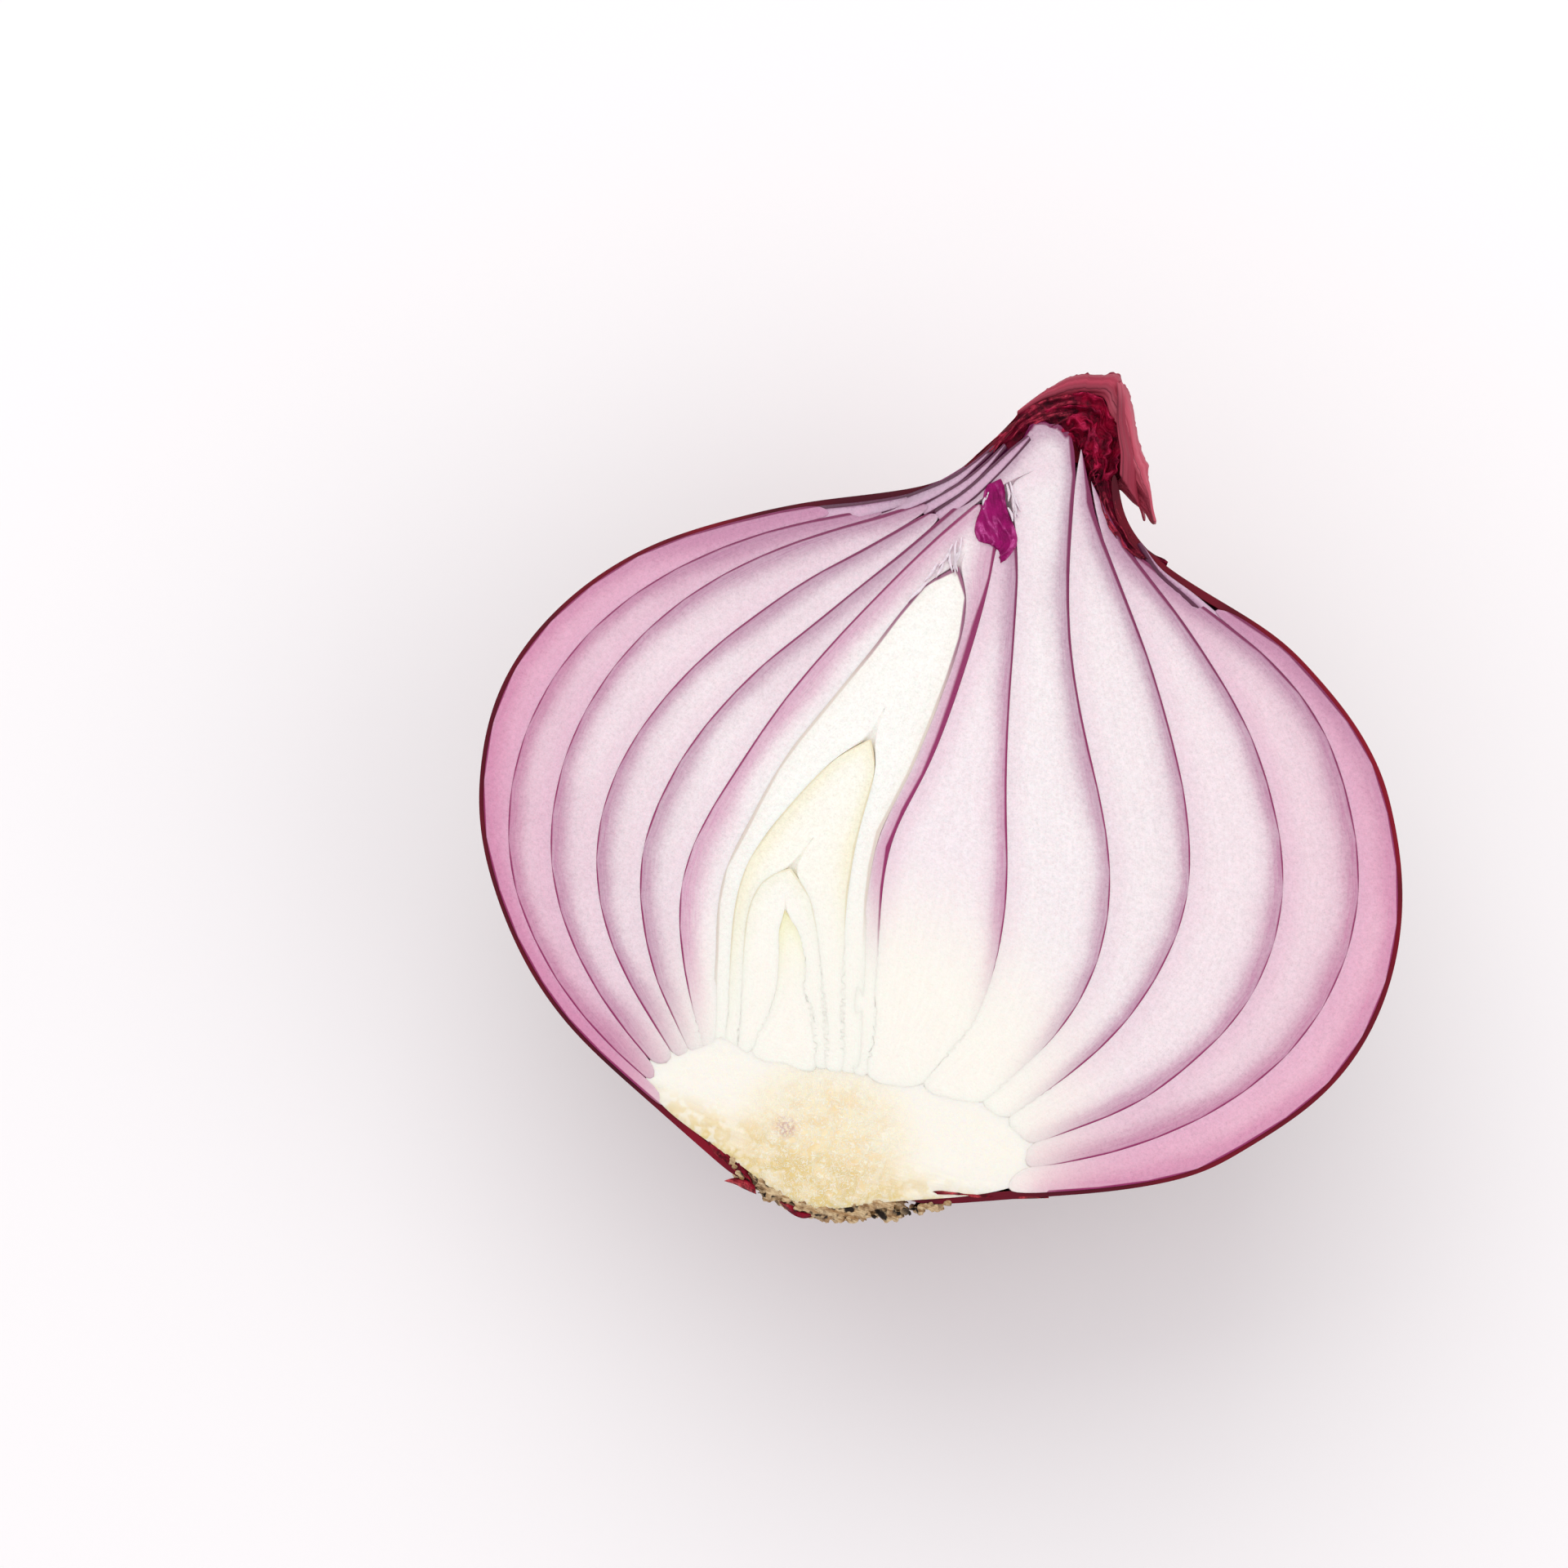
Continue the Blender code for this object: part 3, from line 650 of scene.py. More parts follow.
# Painted shade: this attribute is high where the surface sinks between the lumps, and in random patches.
pit_shades_and_patches = []
normals = [vert.normal.copy() for vert in crust.data.vertices]
for vert, normal in zip(crust.data.vertices, normals):
    rough = noise.noise(vert.co / (0.8 * MM)) + 0.6 * noise.noise(vert.co / (0.33 * MM))
    vert.co += normal * rough * 0.26 * MM
    vert.co.z = min(vert.co.z, CUT_FACE + 0.15 * MM)
    pit_shades_and_patches.append(max(0.0, -rough * 1.5) + max(0.0, 1.3 * noise.noise(vert.co / (1.7 * MM)) - 0.15))
layer = crust.data.attributes.new("pit_shade_and_patches", "FLOAT", "POINT")
layer.data.foreach_set("value", pit_shades_and_patches)
bpy.ops.object.shade_smooth()
hand_over(crust, CORKY_CRUST, "root", "root_crust")


# Outer skin
#
# The dry, papery outer skin, glossy dark crimson over the whole back of the bulb, with fine veins that run
# from the root to the neck and redder streaks between them. It is thin, so at the cut it is a red line.

SKIN_AXIS = -0.001  # the side of the line that the veins run round


def make_papery_skin():
    """The veined red skin, as a group: the outer skin and the hood at the neck have it in different reds."""
    group, given, out = new_group(
        "veined skin",
        {"Around": "float", "Along": "float", "Dark": "colour", "Red": "colour", "Pale": "colour",
         "Paleness": "float"},
        {"Color": "colour", "Roughness": "float", "Height": "float"})
    around, along = given["Around"], given["Along"]

    def stretched(across, lengthwise, detail, distortion=0.0, seed=0.0):
        spot = combine(times(around, across), times(along, lengthwise), seed)
        return add_node(group, "ShaderNodeTexNoise", {0: spot, 2: 1.0, 3: detail, 8: distortion}).outputs[0]

    streaks = stretched(0.42, 0.022, 4.0)
    fine = stretched(1.5, 0.05, 3.0, seed=3.0)
    mottle = stretched(0.12, 0.07, 3.0, 0.6, 7.0)
    wander = stretched(0.05, 0.03, 1.0, seed=11.0)
    ribs = plus(times(around, 0.19), times(wander, 0.9))
    ribs = calculate("ABSOLUTE", calculate("SUBTRACT", calculate("FRACT", ribs), 0.5))
    ribs = fade(ribs, 0.0, 0.035, 1.0, 0.0)
    colour = mix(fade(streaks, 0.36, 0.72), given["Dark"], given["Red"])
    colour = mix(fade(mottle, 0.5, 0.72, 0.0, 0.55), colour, given["Red"])
    colour = mix(fade(fine, 0.35, 0.7, 0.0, 0.3), colour, given["Dark"])
    pale = times(given["Paleness"], fade(fine, 0.25, 0.7, 0.5, 1.0))
    colour = mix(pale, colour, given["Pale"])
    colour = mix(times(ribs, 0.45), colour, rgb(48, 0, 16))
    fill_sockets(out, {"Color": colour, "Roughness": fade(mottle, 0.35, 0.7, 0.22, 0.4),
                       "Height": plus(times(ribs, 0.8), plus(times(fine, 0.5), streaks))})
    return group


VEINED_SKIN = make_papery_skin()


def skin_finish(name, around, along, dark, red, pale, paleness, roughness=None, coat=0.35, relief=0.00012):
    """A skin material. around, along and paleness are functions that make the sockets of those names."""
    finish, tree, shader = new_finish(name)
    group = add_node(tree, "ShaderNodeGroup", {
        "Around": around(tree), "Along": along(tree), "Dark": rgb(*dark), "Red": rgb(*red),
        "Pale": rgb(*pale), "Paleness": paleness(tree)}, node_tree=VEINED_SKIN)
    depth = split(millimetres(tree))[2]
    fill_sockets(shader, {
        "Base Color": group.outputs["Color"], "Roughness": roughness or group.outputs["Roughness"],
        "Normal": bump(group.outputs["Height"], 0.5, relief),
        "Coat Weight": fade(depth, CUT_FACE / MM - 1.2, CUT_FACE / MM - 0.4, coat, 0.0),
        "Coat Roughness": 0.18, "Specular IOR Level": 0.2})
    return finish


def turn_round_bulb(tree):
    """How far round the back of the bulb a point is, in millimetres at its widest."""
    x, _, z = split(millimetres(tree))
    side = calculate("SUBTRACT", x, SKIN_AXIS / MM)
    down = calculate("SUBTRACT", CUT_FACE / MM + 0.5, z)
    return times(calculate("ARCTAN2", side, down), 41.0)


def height_on_bulb(tree):
    return split(millimetres(tree))[1]


def pale_towards_neck(tree):
    """Paler at the neck and at the root, but not on the cut edge, which stays dark."""
    neck = fade(height_on_bulb(tree), 18.0, 38.0, 0.0, 0.75)
    root = fade(height_on_bulb(tree), -33.0, -27.0, 0.6, 0.0)
    depth = split(millimetres(tree))[2]
    below_cut = fade(depth, CUT_FACE / MM - 1.5, CUT_FACE / MM - 0.4, 1.0, 0.0)
    return times(calculate("MAXIMUM", neck, root), below_cut)


skin = lift_from_frame("outer_skin", "outer_skin_shell")
dress_cut_piece(skin, 0, 0.12 * MM, 3)
normals = [vert.normal.copy() for vert in skin.data.vertices]
for vert, normal in zip(skin.data.vertices, normals):
    turn = math.atan2(vert.co.x - SKIN_AXIS, CUT_FACE + 0.5 * MM - vert.co.z)
    wave = noise.noise((turn * 9.0, vert.co.y / (60 * MM), 0.5)) + 0.5 * noise.noise((turn * 24, 2.0, 4.0))
    calm = min(1.0, (CUT_FACE - vert.co.z) / (3 * MM), max(0.0, vert.co.z / (1.5 * MM)))
    vert.co -= normal * (0.1 + 0.12 * wave) * max(calm, 0.0) * MM
    vert.co.z -= 0.14 * MM * min(max((vert.co.z - CUT_FACE) / (0.4 * MM) + 1.0, 0.0), 1.0)
hand_over(skin, skin_finish("papery skin", turn_round_bulb, height_on_bulb, (72, 0, 24), (138, 2, 32),
                            (186, 72, 84), pale_towards_neck), "skin", "outer_skin")


# Dried layers of the neck
#
# Where the scales dry out towards the neck they become thin dark red sheets, packed side by side. The knife
# has cut them too, so from above they are narrow bands, with painted light on the tops of their strands.


def smooth_path(points, steps):
    """Points evenly spaced on a smooth line through the given ones, each with its extra numbers."""
    points = np.array(points, float)
    ends = np.vstack([2 * points[0] - points[1], points, 2 * points[-1] - points[-2]])
    dense = []
    for i in range(len(points) - 1):
        a, b, c, d = ends[i:i + 4]
        for t in np.linspace(0, 1, 30, endpoint=i == len(points) - 2):
            dense.append(0.5 * (2 * b + (c - a) * t + (2 * a - 5 * b + 4 * c - d) * t**2
                                + (3 * b - a - 3 * c + d) * t**3))
    dense = np.array(dense)
    run = np.concatenate([[0], np.cumsum(np.linalg.norm(np.diff(dense[:, :2], axis=0), axis=1))])
    wanted = np.linspace(0, run[-1], steps)
    return np.stack([np.interp(wanted, run, column) for column in dense.T], 1), wanted


def add_cut_sheet(mesh, path, depth, lean, raised, ragged, crumple, seed, steps, rows=7):
    """Adds a sheet that stands in the bulb with its cut edge up, as a closed body.

    path is (side, height, width) points in millimetres along the cut edge, lean is how far its foot moves,
    ragged how much the cut edge goes up and down, and crumple how much the sheet wrinkles. raised is how far
    the cut edge stands above the cut face, at the start and from a third of the way on.
    """
    line, run = smooth_path(path, steps)
    slope = np.gradient(line[:, :2], axis=0)
    slope /= np.maximum(np.linalg.norm(slope, axis=1), 1e-9)[:, None]
    square = np.stack([-slope[:, 1], slope[:, 0]], 1)
    outside, inside = mesh.verts.layers.float["outside"], mesh.verts.layers.float["inside"]
    edge, along = mesh.verts.layers.float["edge"], mesh.verts.layers.float["along"]
    rings = []
    for i in range(steps):
        width = max(line[i, 2], 0.06)
        jag = ragged * (noise.noise((run[i] * 2.1, seed, 0)) + 0.5 * noise.noise((run[i] * 6, seed, 3)))
        ring = []
        for k in list(range(rows)) + list(range(rows - 1, -1, -1)):
            left = len(ring) < rows
            share = 1 - k / (rows - 1)
            drop = depth * share**1.6
            bend = crumple * noise.noise((run[i] * 0.9, drop * 0.8 + seed * 3.7, seed))
            bend += 0.4 * crumple * noise.noise((run[i] * 2.6, drop * 1.9, seed + 5))
            round_off = 0.86 if k == rows - 1 else 1.0
            across = (width / 2 * round_off) * (1 if left else -1) + bend
            spot = line[i, :2] + square[i] * across + np.array(lean) * share**1.2
            lift = np.interp(i / (steps - 1), (0, 0.33), raised)
            vert = mesh.verts.new(in_bulb(spot[0], spot[1], drop - lift - jag))
            vert[outside] = width * (0.0 if left else 1.0) if k == rows - 1 else 0.0
            vert[inside] = width - vert[outside]
            vert[edge] = max(0.0, 1.0 - drop / 0.5)
            vert[along] = run[i]
            ring.append(vert)
        rings.append(ring)
    for ring, following in zip(rings, rings[1:]):
        for i in range(len(ring)):
            mesh.faces.new((ring[i - 1], ring[i], following[i], following[i - 1]))
    for ring in (rings[0], rings[-1]):
        for i in range(len(ring) // 2 - 1):
            mesh.faces.new((ring[i], ring[i + 1], ring[-2 - i], ring[-1 - i]))


def new_sheets():
    mesh = bmesh.new()
    for name in ("outside", "inside", "edge", "along"):
        mesh.verts.layers.float.new(name)
    return mesh


def finish_sheets(mesh, name, levels=1):
    """Makes one piece of the sheets that were added."""
    bmesh.ops.recalc_face_normals(mesh, faces=mesh.faces)
    data = bpy.data.meshes.new(name)
    mesh.to_mesh(data)
    mesh.free()
    piece = bpy.data.objects.new(name, data)
    bpy.context.collection.objects.link(piece)
    smooth_with(piece, levels)
    return piece


def make_dry_layers(name, deep, bright, dark_share=0.5, roughness=0.5):
    """Dried sheets on edge: deep crimson, wrinkled, with painted light on the tops of their strands."""
    finish, tree, shader = new_finish(name)
    place = millimetres(tree)
    edge, along = attribute(tree, "edge"), attribute(tree, "along")
    blotches = noise_at(place, 0.9, 4.0, 0.7)
    spot = combine(times(along, 0.5), times(edge, 3.0))
    threads = noise_at(spot, 3.0, 4.0, 0.7)
    grain = noise_at(place, 4.0, 3.0, 0.75)
    colour = mix(fade(blotches, 0.35, 0.65), rgb(*deep), rgb(*(value * dark_share for value in deep)))
    # Painted light: the bright colour on the tops of the strands, where the edge attribute is high.
    painted_light_on_tops = times(fade(edge, 0.4, 1.0), times(fade(threads, 0.36, 0.62), fade(blotches, 0.6, 0.42, 0.35, 1.0)))
    colour = mix(painted_light_on_tops, colour, rgb(*bright))
    colour = mix(fade(grain, 0.62, 0.74, 0.0, 0.5), colour, rgb(*bright))
    fill_sockets(shader, {
        "Base Color": colour, "Roughness": fade(grain, 0.3, 0.7, roughness - 0.12, roughness + 0.2),
        "Normal": bump(plus(threads, grain), 0.7, 0.0001), "Specular IOR Level": 0.12})
    return finish


sheath = lift_from_frame("neck_sheath", "dry_neck_sheath")
dress_cut_piece(sheath, TOUCH, TOUCH)
for vert in sheath.data.vertices:
    vert.co.z = min(vert.co.z, CUT_FACE - 0.5 * MM)
DRY_LAYERS = make_dry_layers("dry layers of the neck", (116, 0, 38), (222, 72, 98), 0.4, 0.6)
for label in ("edge", "along"):
    sheath.data.attributes.new(label, "FLOAT", "POINT")
hand_over(sheath, DRY_LAYERS, "dry_neck", "neck_sheath")

LEAN = math.radians(18)  # how far the bulb leans in the picture
PIXELS = 14  # of the picture to a millimetre
ROOT_ACROSS, ROOT_DOWN = 1010, 1440  # where the picture shows the middle of the root


def in_picture(across, down):
    """A place on the cut face, by its spot in the 1920-pixel picture."""
    run, rise = (across - ROOT_ACROSS) / PIXELS, (ROOT_DOWN - down) / PIXELS
    return in_bulb(run * math.cos(LEAN) - rise * math.sin(LEAN), run * math.sin(LEAN) + rise * math.cos(LEAN))


def strand_bed(name, far_line, near_line, steps, rows, strands, crumple, height=0.7, base=0.75, seed=0):
    """A closed bed of dried strands between two lines of picture spots, which the strands follow.

    strands is how many there are in a millimetre, crumple how far they stray, and height how far they stand
    out. The attributes edge and along hold how high a point is on its strand and where it is along the bed.
    """
    mesh = new_sheets()
    edge, along = mesh.verts.layers.float["edge"], mesh.verts.layers.float["along"]
    far, run = smooth_path([in_picture(*spot)[:2] for spot in far_line], steps)
    near, _ = smooth_path([in_picture(*spot)[:2] for spot in near_line], steps)
    tops, feet = [], []
    for i in range(steps):
        width = np.linalg.norm(far[i] - near[i]) / MM
        length = run[i] / MM
        tops.append([])
        feet.append([])
        for j in range(rows):
            share = j / (rows - 1)
            spot = far[i] * (1 - share) + near[i] * share
            stray = crumple * (noise.noise((length * 0.45, share * width * 0.7, seed))
                               + 0.6 * noise.noise((length * 1.3, share * width * 1.3, seed + 9)))
            line = (share * width + stray) * strands
            ridge = 1 - min(1.0, 3.2 * abs(noise.noise((line, length * 0.22, seed + 3))))
            fine = 1 - min(1.0, 2.5 * abs(noise.noise((line * 2.6, length * 0.5, seed + 6))))
            high = 0.7 * ridge + 0.3 * fine
            sides = min(1.0, 6 * share * width / 1.5, 6 * (1 - share) * width / 1.5)
            ends = min(1.0, i / 8, (steps - 1 - i) / 8)
            depth = base - height * high * ends - 0.25 * noise.noise((length * 0.5, line * 0.3, seed + 12))
            depth += 0.35 * (1 - sides)
            top = mesh.verts.new((spot[0], spot[1], CUT_FACE - depth * MM))
            top[edge] = high
            top[along] = length
            tops[-1].append(top)
            foot = depth + 0.12 + 1.2 * min(share, 1 - share)
            feet[-1].append(mesh.verts.new((spot[0], spot[1], CUT_FACE - foot * MM)))
    for i in range(steps - 1):
        for j in range(rows - 1):
            mesh.faces.new((tops[i][j], tops[i + 1][j], tops[i + 1][j + 1], tops[i][j + 1]))
            mesh.faces.new((feet[i][j], feet[i][j + 1], feet[i + 1][j + 1], feet[i + 1][j]))
        for j in (0, rows - 1):
            mesh.faces.new((tops[i][j], tops[i + 1][j], feet[i + 1][j], feet[i][j]))
    for i in (0, steps - 1):
        for j in range(rows - 1):
            mesh.faces.new((tops[i][j], tops[i][j + 1], feet[i][j + 1], feet[i][j]))
    return finish_sheets(mesh, name, 0)


BAND_OUTSIDE = ((1152, 585), (1172, 572), (1204, 546), (1241, 510), (1252, 497), (1271, 487),
                (1287, 481), (1310, 477), (1330, 475))
BAND_INSIDE = ((1152, 588), (1172, 578), (1206, 560), (1229, 541), (1254, 525), (1268, 518),
               (1283, 517), (1297, 527), (1312, 533))
layers = strand_bed("packed_neck_layers", BAND_OUTSIDE, BAND_INSIDE, 300, 44, 1.1, 0.12, 0.6, 0.45, seed=1)
hand_over(layers, DRY_LAYERS, "dry_neck")

RIGHT_OUTSIDE = ((1352, 555), (1364, 590), (1368, 614), (1374, 631), (1383, 645), (1390, 659), (1408, 673),
                 (1432, 686))
RIGHT_INSIDE = ((1335, 560), (1339, 590), (1343, 614), (1351, 638), (1360, 655), (1373, 670), (1392, 684),
                (1430, 691))
strips = strand_bed("right_neck_layers", RIGHT_OUTSIDE, RIGHT_INSIDE, 260, 34, 1.5, 0.12, 0.7, 0.45, seed=5)
hand_over(strips, DRY_LAYERS, "dry_neck")


# Tapering tops of the scales
#
# Each fleshy scale thins out towards the neck. Some run up between their neighbours as grey-lilac tongues,
# two end in thin points at the right, and the fifth ends in a broad wedge with a torn purple fringe.

TONGUES = (
    ((-19.8, 54.5, 1.6), (-18.2, 55.3, 1.8), (-14.9, 56.9, 1.4), (-11.5, 58.9, 0.9), (-9.2, 61.0, 0.6),
     (-7.5, 63.1, 0.3)),
    ((-14.2, 56.6, 1.2), (-10.9, 59.1, 1.3), (-8.3, 61.5, 0.9), (-6.7, 63.8, 0.5), (-5.6, 65.7, 0.3)),
    ((-10.1, 58.3, 1.1), (-7.4, 61.3, 0.9), (-5.9, 63.7, 0.6), (-4.8, 66.1, 0.3)),
    ((-8.6, 58.2, 1.3), (-6.5, 61.0, 1.1), (-5.1, 63.5, 1.0), (-4.0, 65.6, 0.8), (-3.0, 67.4, 0.4)),
    ((18.6, 56.3, 1.4), (14.9, 58.0, 1.0), (11.6, 59.4, 0.6), (9.2, 61.3, 0.25)),
)
tongues = new_sheets()
for i, path in enumerate(TONGUES):
    add_cut_sheet(tongues, path, 1.1, (-0.8 if path[0][0] > 0 else 0.8, -0.6), (-0.16, 0.02 + 0.04 * (i % 4)),
                  0.02, 0.0, 20 + i, 50)
tongues = finish_sheets(tongues, "tapering_scale_tops")
hand_over(tongues, flesh_finish("grey tops of the scales", (206, 178, 198), (120, 60, 100), 0.5, 0.9,
                                (84, 20, 56), 0.16), "flesh")


def on_picture(place):
    """The spot in the 1920-pixel picture where a place on the cut face is seen."""
    side, height = place.x / MM + BULB_SIDE, place.y / MM + BULB_ROOT
    return (ROOT_ACROSS + PIXELS * (side * math.cos(LEAN) + height * math.sin(LEAN)),
            ROOT_DOWN - PIXELS * (height * math.cos(LEAN) - side * math.sin(LEAN)))


def near_cut(place, deep):
    """1 on the cut face, and 0 from deep millimetres below it on."""
    return min(max(1 + (place.z - CUT_FACE) / (deep * MM), 0.0), 1.0)


TIPS = {"cut_fleshy_scale_4": ((1321, 604), (1324, 574), (1326, 546)),
        "cut_fleshy_scale_3": ((1353, 660), (1347, 629), (1338, 586))}
for name, (start, blunt, point) in TIPS.items():
    start, blunt, point = (in_picture(*spot).to_2d() for spot in (start, blunt, point))
    axis = (blunt - start).normalized()
    square = Vector((-axis.y, axis.x))
    for vert in bpy.data.objects[name].data.vertices:
        off = vert.co.to_2d() - start
        share, across = off.dot(axis) / (blunt - start).length, off.dot(square)
        if share > 0 and abs(across) < 1.6 * MM and share < 1.6:
            share = min(share, 1.0)
            drawn = start + (point - start) * share + square * across * (1 - share) ** 0.7
            vert.co.xy = vert.co.to_2d().lerp(drawn, near_cut(vert.co, 1.6) ** 0.5)

WEDGE_WAS = ((1250, 552), (1262, 541), (1278, 535), (1295, 529), (1305, 538), (1313, 552), (1320, 575))
WEDGE_TOP = ((1250, 546), (1260, 524), (1270, 517), (1285, 518), (1300, 524), (1312, 533), (1320, 560))
for vert in bpy.data.objects["cut_fleshy_scale_5"].data.vertices:
    across, down = on_picture(vert.co)
    if 1250 < across < 1330 and down < 580:
        was, top = (np.interp(across, *np.array(line).T) for line in (WEDGE_WAS, WEDGE_TOP))
        share = min(max((580 - down) / (580 - was), 0.0), 1.0)
        torn = 4.0 * noise.noise((across / 5, 3.0, 0.0)) + 2.5 * noise.noise((across / 2, 7.0, 0.0))
        lift = share**2 * (was - top) + share**6 * torn
        risen = in_picture(across, down - lift)
        vert.co.xy = vert.co.to_2d().lerp(risen.to_2d(), near_cut(vert.co, 1.6) ** 0.5)


# Crumpled folds
#
# The dead inner leaves in the middle of the neck, shrunk to a mass of thin crimson folds with dark hollows
# between them.

folds = lift_from_frame("neck_folds", "crumpled_folds_base")
smooth_with(folds, 3)
for vert in folds.data.vertices:
    rough = noise.noise(vert.co / (1.2 * MM)) + 0.5 * noise.noise(vert.co / (0.5 * MM))
    vert.co.z = min(vert.co.z, CUT_FACE - 1.0 * MM) + 0.5 * rough * MM
for label in ("edge", "along"):
    folds.data.attributes.new(label, "FLOAT", "POINT")
CRUMPLED = make_dry_layers("crumpled crimson folds", (160, 2, 50), (214, 48, 98), 0.5, 0.5)
hand_over(folds, CRUMPLED, "dry_neck", "neck_folds")

FOLDS_RIGHT = ((1268, 489), (1296, 479), (1326, 475), (1350, 478), (1360, 488), (1364, 504), (1375, 518),
               (1380, 534), (1383, 556), (1378, 574), (1366, 590))
FOLDS_LEFT = ((1276, 516), (1290, 518), (1300, 524), (1312, 532), (1320, 540), (1324, 548), (1328, 557),
              (1332, 567), (1335, 578), (1337, 588), (1339, 598))
crumpled = strand_bed("crumpled_folds", FOLDS_RIGHT, FOLDS_LEFT, 220, 90, 0.75, 0.75, 1.1, 0.8, seed=14)
hand_over(crumpled, CRUMPLED, "dry_neck")


# Magenta pocket and torn fibres
#
# Above the heart the sheath has torn open: its vivid magenta lining shows in a pocket. White fibres, pulled
# out by the knife, stand beside it and over the tip of the core.

POCKET_LEFT = ((1208, 592), (1206, 601), (1204, 614), (1198, 630), (1194, 650), (1199, 661), (1212, 665),
               (1222, 673), (1224, 688))
POCKET_RIGHT = ((1229, 582), (1232, 598), (1233, 612), (1237, 628), (1243, 642), (1247, 654), (1247, 665),
                (1240, 677), (1228, 690))
pocket = strand_bed("magenta_pocket", POCKET_RIGHT, POCKET_LEFT, 150, 50, 1.2, 0.15, 0.2, -0.14, seed=21)
hand_over(pocket, make_dry_layers("magenta lining", (160, 8, 104), (214, 96, 170), 0.8, 0.4), "flesh")

FIBRES = (((1238, 587), (1243, 606), (1251, 624)), ((1241, 601), (1243, 616), (1249, 631)),
          ((1236, 619), (1240, 628), (1241, 637)), ((1234, 590), (1237, 602), (1236, 612)),
          ((1244, 612), (1246, 622), (1244, 632)), ((1172, 660), (1170, 682), (1171, 704)),
          ((1179, 656), (1174, 678), (1168, 697)), ((1163, 672), (1164, 686), (1167, 699)),
          ((1156, 688), (1151, 697), (1147, 706)), ((1176, 670), (1172, 684), (1174, 699)),
          ((1149, 688), (1142, 699), (1133, 711)), ((1137, 711), (1124, 724), (1112, 736)),
          ((1168, 665), (1160, 681), (1150, 692)), ((1212, 600), (1207, 612), (1206, 622)))
fibres = new_sheets()
for i, path in enumerate(FIBRES):
    spots = [(place.x / MM + BULB_SIDE, place.y / MM + BULB_ROOT, width)
             for place, width in zip((in_picture(*spot) for spot in path), (0.14, 0.26, 0.08))]
    add_cut_sheet(fibres, spots, 0.5, (0.0, 0.0), (0.3, 0.3), 0.15, 0.12, 60 + i, 16, 4)
fibres = finish_sheets(fibres, "torn_white_fibres")
hand_over(fibres, flesh_finish("white fibres", (254, 250, 252), (240, 226, 240), 0.3, 0.2, line=0.0,
                               neck_shade=0.0), "flesh")


# Torn flakes at the root
#
# Scraps of the red skin that broke beside the crust. They are curled and dark, with painted light along the
# tops of their strands.

ROOT_FLAKES = {
    "curled_root_flake": (((862, 1394), (876, 1412), (895, 1429), (914, 1441), (922, 1451)),
                          ((866, 1391), (884, 1404), (903, 1416), (914, 1429), (921, 1445))),
    "pointed_root_flake": (((887, 1444), (900, 1448), (912, 1454), (926, 1460)),
                           ((888, 1443), (900, 1440), (912, 1441), (924, 1449))),
    "lower_root_flake": (((954, 1470), (968, 1483), (982, 1489), (995, 1487)),
                         ((956, 1468), (968, 1473), (982, 1479), (994, 1483))),
    "torn_skin_edge": (((1132, 1460), (1160, 1463), (1200, 1465), (1240, 1466), (1280, 1465)),
                       ((1133, 1453), (1160, 1455), (1200, 1459), (1240, 1462), (1280, 1463))),
}
TORN_RED = make_dry_layers("torn red skin", (150, 8, 40), (232, 92, 96), 0.4, 0.45)
for i, (name, (lower, upper)) in enumerate(ROOT_FLAKES.items()):
    flake = strand_bed(name, lower, upper, 90, 18, 0.9, 0.12, 0.35, 0.15, seed=30 + i)
    hand_over(flake, TORN_RED, "skin")


# Hood
#
# The end of the outermost dry skin, which curls round behind the folds and over them at the right, and ends
# in a torn point. Dusty pink-red and papery, with fine veins side by side.

HOOD_LEFT = ((64, 6.4), (66, 5.9), (69.3, 4.4), (71, 3.3), (73.7, 1.1), (75, -0.3))
HOOD_RIGHT = ((63.6, 9.7), (65.9, 8.4), (68.2, 7.3), (70.9, 5.6), (73.5, 4.2), (75, 3.3))
HOOD_HEM = ((-45, 66.2), (-25, 64.9), (-8, 63.6), (12, 65.2), (40, 66.9), (90, 66.8), (150, 68.4),
            (200, 69.4))
HOOD_BRIM = ((-45, 74.2), (0, 74.6), (60, 74.9), (120, 74.6), (200, 73.2))
bpy.ops.object.select_all(action="DESELECT")
bpy.ops.mesh.primitive_grid_add(x_subdivisions=96, y_subdivisions=44, size=1)
hood = bpy.context.object
hood.name = "folded_hood"
for vert in hood.data.vertices:
    share, rise = vert.co.x + 0.5, vert.co.y + 0.5
    turn = -45 + 245 * share
    hem = np.interp(turn, *np.array(HOOD_HEM).T)
    hem += 0.5 * noise.noise((turn / 7, 1.0, 0.0)) + 0.25 * noise.noise((turn / 2.5, 4.0, 0.0))
    brim = np.interp(turn, *np.array(HOOD_BRIM).T)
    brim += 0.3 * noise.noise((turn / 11, 8.0, 0.0)) + 0.2 * noise.noise((turn / 4, 9.0, 0.0))
    height = hem + (brim - hem) * rise
    left, right = (np.interp(height, *np.array(side).T) for side in (HOOD_LEFT, HOOD_RIGHT))
    radius = (right + left) / 2 - 0.12
    pleat = 0.16 * noise.noise((turn / 6, height / 9, 2.0)) + 0.3 * noise.noise((turn / 40, height / 4, 5.0))
    angle = math.radians(turn)
    reach = radius * (1 - 0.05 * max(0.0, 0.6 - rise)) + pleat * min(1.0, radius / 3) - 0.2
    side = (right - left) / 2 + reach * math.cos(angle)
    vert.co = in_bulb(side, height, 0.45 * radius + reach * math.sin(angle))

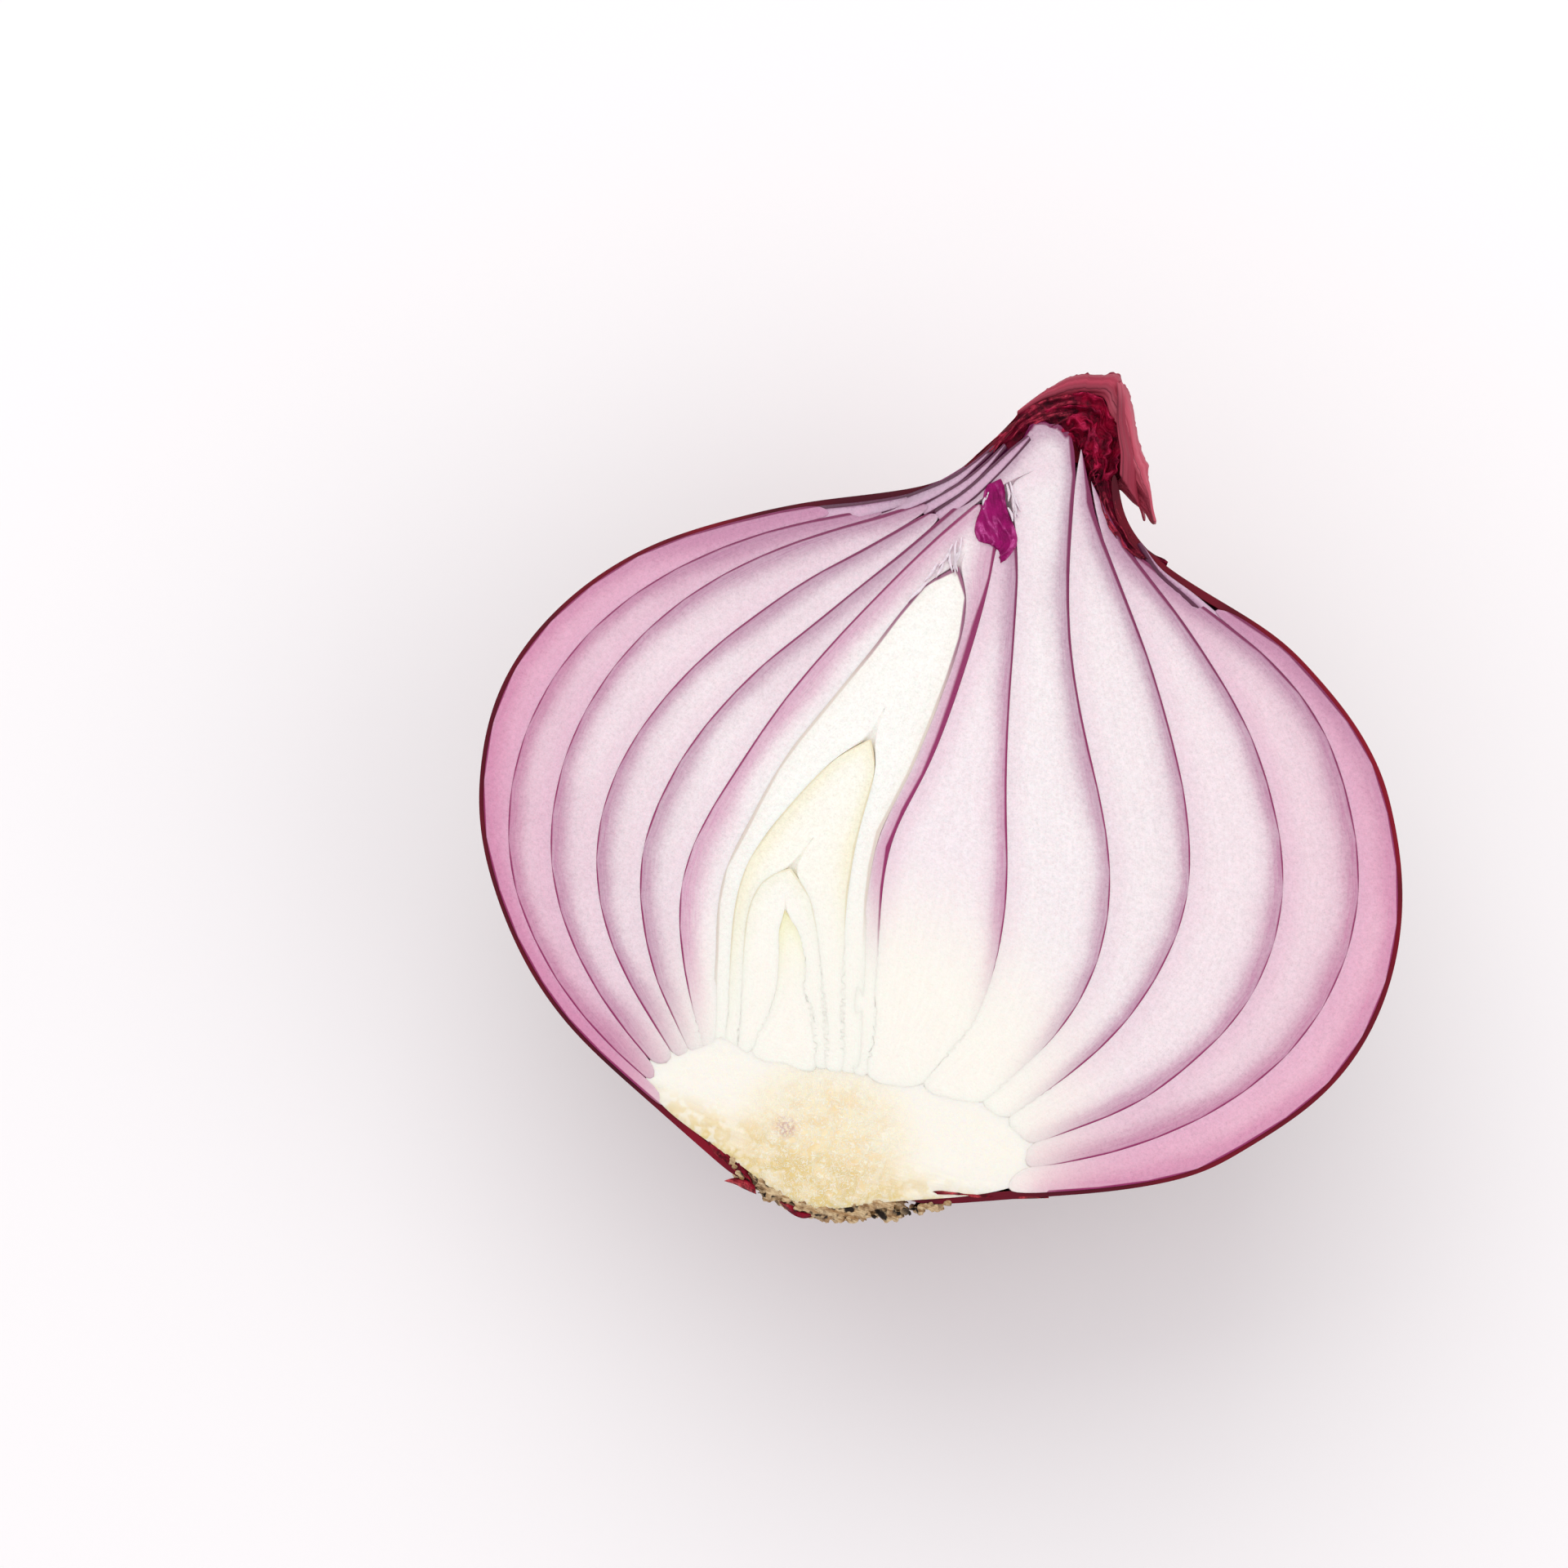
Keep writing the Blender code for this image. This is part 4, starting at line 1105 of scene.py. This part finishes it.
BRIM_OUTSIDE = ((1248, 498), (1264, 484), (1282, 470), (1300, 459), (1314, 452), (1333, 449), (1355, 450),
                (1372, 448), (1378, 457), (1386, 470), (1389, 484), (1392, 498), (1394, 516), (1398, 536),
                (1403, 552), (1409, 565), (1408, 578), (1411, 598), (1413, 621), (1417, 638))
BRIM_INSIDE = ((1249, 501), (1270, 490), (1286, 484), (1309, 479), (1328, 477), (1350, 479), (1358, 487),
               (1363, 503), (1373, 517), (1378, 529), (1382, 548), (1385, 565), (1396, 588), (1408, 606),
               (1413, 625), (1416, 637))
UNDERSIDE = ((1378, 529), (1366, 545), (1362, 570), (1362, 588), (1376, 596), (1389, 609), (1399, 617),
             (1406, 624), (1412, 634), (1416, 637))


def add_paper_strip(far_line, near_line, depths, seed, length):
    """A strip of the hood between two lines of picture spots.

    depths are across it, in millimetres, and length is its share of the texture's run.
    """
    bpy.ops.object.select_all(action="DESELECT")
    bpy.ops.mesh.primitive_grid_add(x_subdivisions=24, y_subdivisions=160, size=1)
    strip = bpy.context.object
    far, near = (smooth_path([in_picture(*spot)[:2] for spot in line], 161)[0]
                 for line in (far_line, near_line))
    for vert in strip.data.vertices:
        share, i = vert.co.x + 0.5, round((vert.co.y + 0.5) * 160)
        torn = 0.22 * noise.noise((i / 5, seed, 0)) + 0.12 * noise.noise((i / 1.7, seed, 4))
        share -= torn * (1 - share) * min(1.0, i / 12, (160 - i) / 12)
        pleat = 0.3 * noise.noise((share * 5, i / 40, seed))
        pleat += 0.12 * noise.noise((share * 13, i / 30, seed + 2))
        depth = np.interp(share, np.linspace(0, 1, len(depths)), depths) + pleat * min(1.0, (160 - i) / 30)
        vert.co = (*(far[i] * (1 - share) + near[i] * share), CUT_FACE - depth * MM)
    for loop in strip.data.uv_layers[0].data:
        loop.uv = (loop.uv[0] * 0.22 + 0.1 * seed, loop.uv[1] * length)
    return strip


brim = add_paper_strip(BRIM_OUTSIDE, BRIM_INSIDE, (1.5, 0.5, 0.1, 0.15, 0.5), 3, 2.0)
underside = add_paper_strip(BRIM_INSIDE[9:], UNDERSIDE, (0.5, 1.0, 1.4, 1.5), 7, 0.7)
for sheet in (brim, underside, hood):
    sheet.select_set(True)
bpy.context.view_layer.objects.active = hood
bpy.ops.object.join()
walling = hood.modifiers.new("paper", "SOLIDIFY")
walling.thickness = 0.22 * MM
walling.offset = 0
bpy.ops.object.modifier_apply(modifier=walling.name)
smooth_with(hood, 1)


def hood_uv(tree):
    return add_node(tree, "ShaderNodeUVMap", uv_map=hood.data.uv_layers[0].name).outputs[0]


def uv_across(tree):
    return times(split(hood_uv(tree))[0], 34.0)


def uv_along(tree):
    return times(split(hood_uv(tree))[1], 9.0)


def paler_on_right(tree):
    return fade(uv_along(tree), 6.5, 9.5, 0.28, 0.75)


hand_over(hood, skin_finish("dusty hood", uv_across, uv_along, (112, 0, 36), (176, 34, 68), (216, 110, 128),
                            paler_on_right, 0.6, 0.05, 0.0003), "hood", "neck_hood")


# Table, light and camera
#
# A white table top without an edge, a large soft light from the neck's side and a fill all round. The
# camera looks down on the cut face through a long lens, turned as the bulb leans in the picture.

bpy.ops.object.select_all(action="DESELECT")
bpy.ops.mesh.primitive_plane_add(size=6, location=(0, 0, -0.00005))
table_top = bpy.context.object
table_top.name = "table_top"
table_top.data.transform(table_top.matrix_world)
table_top.matrix_world.identity()
table_top.location = (0, 0, 0)
white, _, table_shader = new_finish("white table")
fill_sockets(table_shader, {"Base Color": rgb(255, 253, 254), "Roughness": 0.6})
table_top.data.materials.append(white)

picture_up = Vector((-math.sin(LEAN), math.cos(LEAN), 0))
picture_right = Vector((math.cos(LEAN), math.sin(LEAN), 0))
VIEW_MIDDLE = Vector((-0.0145, 0.0010, CUT_FACE))
VIEW_WIDTH = 0.1371  # of the picture at the cut face
LENS = 100.0
SENSOR = 36.0
TILT = math.radians(7)  # off straight down, towards the root's side

eye_side = (picture_right * 0.35 - picture_up * 0.94).normalized()
towards_eye = Vector((0, 0, 1)) * math.cos(TILT) + eye_side * math.sin(TILT)
eye = VIEW_MIDDLE + towards_eye * VIEW_WIDTH * LENS / SENSOR
camera_data = bpy.data.cameras.new("camera")
camera_data.lens = LENS
camera_data.sensor_width = SENSOR
camera_data.clip_start = 0.01
camera = bpy.data.objects.new("camera", camera_data)
bpy.context.collection.objects.link(camera)
back = (eye - VIEW_MIDDLE).normalized()
up = (picture_up - back * picture_up.dot(back)).normalized()
right = up.cross(back)
camera.matrix_world = Matrix(((right.x, up.x, back.x, eye.x), (right.y, up.y, back.y, eye.y),
                              (right.z, up.z, back.z, eye.z), (0, 0, 0, 1)))
bpy.context.scene.camera = camera


def add_softbox(name, place, aim, width, height, power):
    lamp = bpy.data.lights.new(name, "AREA")
    lamp.shape = "RECTANGLE"
    lamp.size = width
    lamp.size_y = height
    lamp.energy = power
    lamp.color = (0.95, 1.0, 0.965)
    box = bpy.data.objects.new(name, lamp)
    bpy.context.collection.objects.link(box)
    box.location = place
    box.rotation_euler = (Vector(aim) - Vector(place)).to_track_quat("-Z", "Y").to_euler()


add_softbox("window light", (-0.45, 0.75, 0.95), (0, 0, 0.03), 1.2, 1.2, 5.6)
add_softbox("fill light", (0.8, 0.1, 0.8), (0, 0, 0.03), 0.9, 0.9, 1.8)
world = bpy.data.worlds.new("pale room")
bpy.context.scene.world = world
world.use_nodes = True
fill_sockets(world.node_tree.nodes["Background"], {"Color": (1.0, 0.965, 0.988, 1), "Strength": 0.77})
bpy.context.scene.view_settings.view_transform = "Standard"
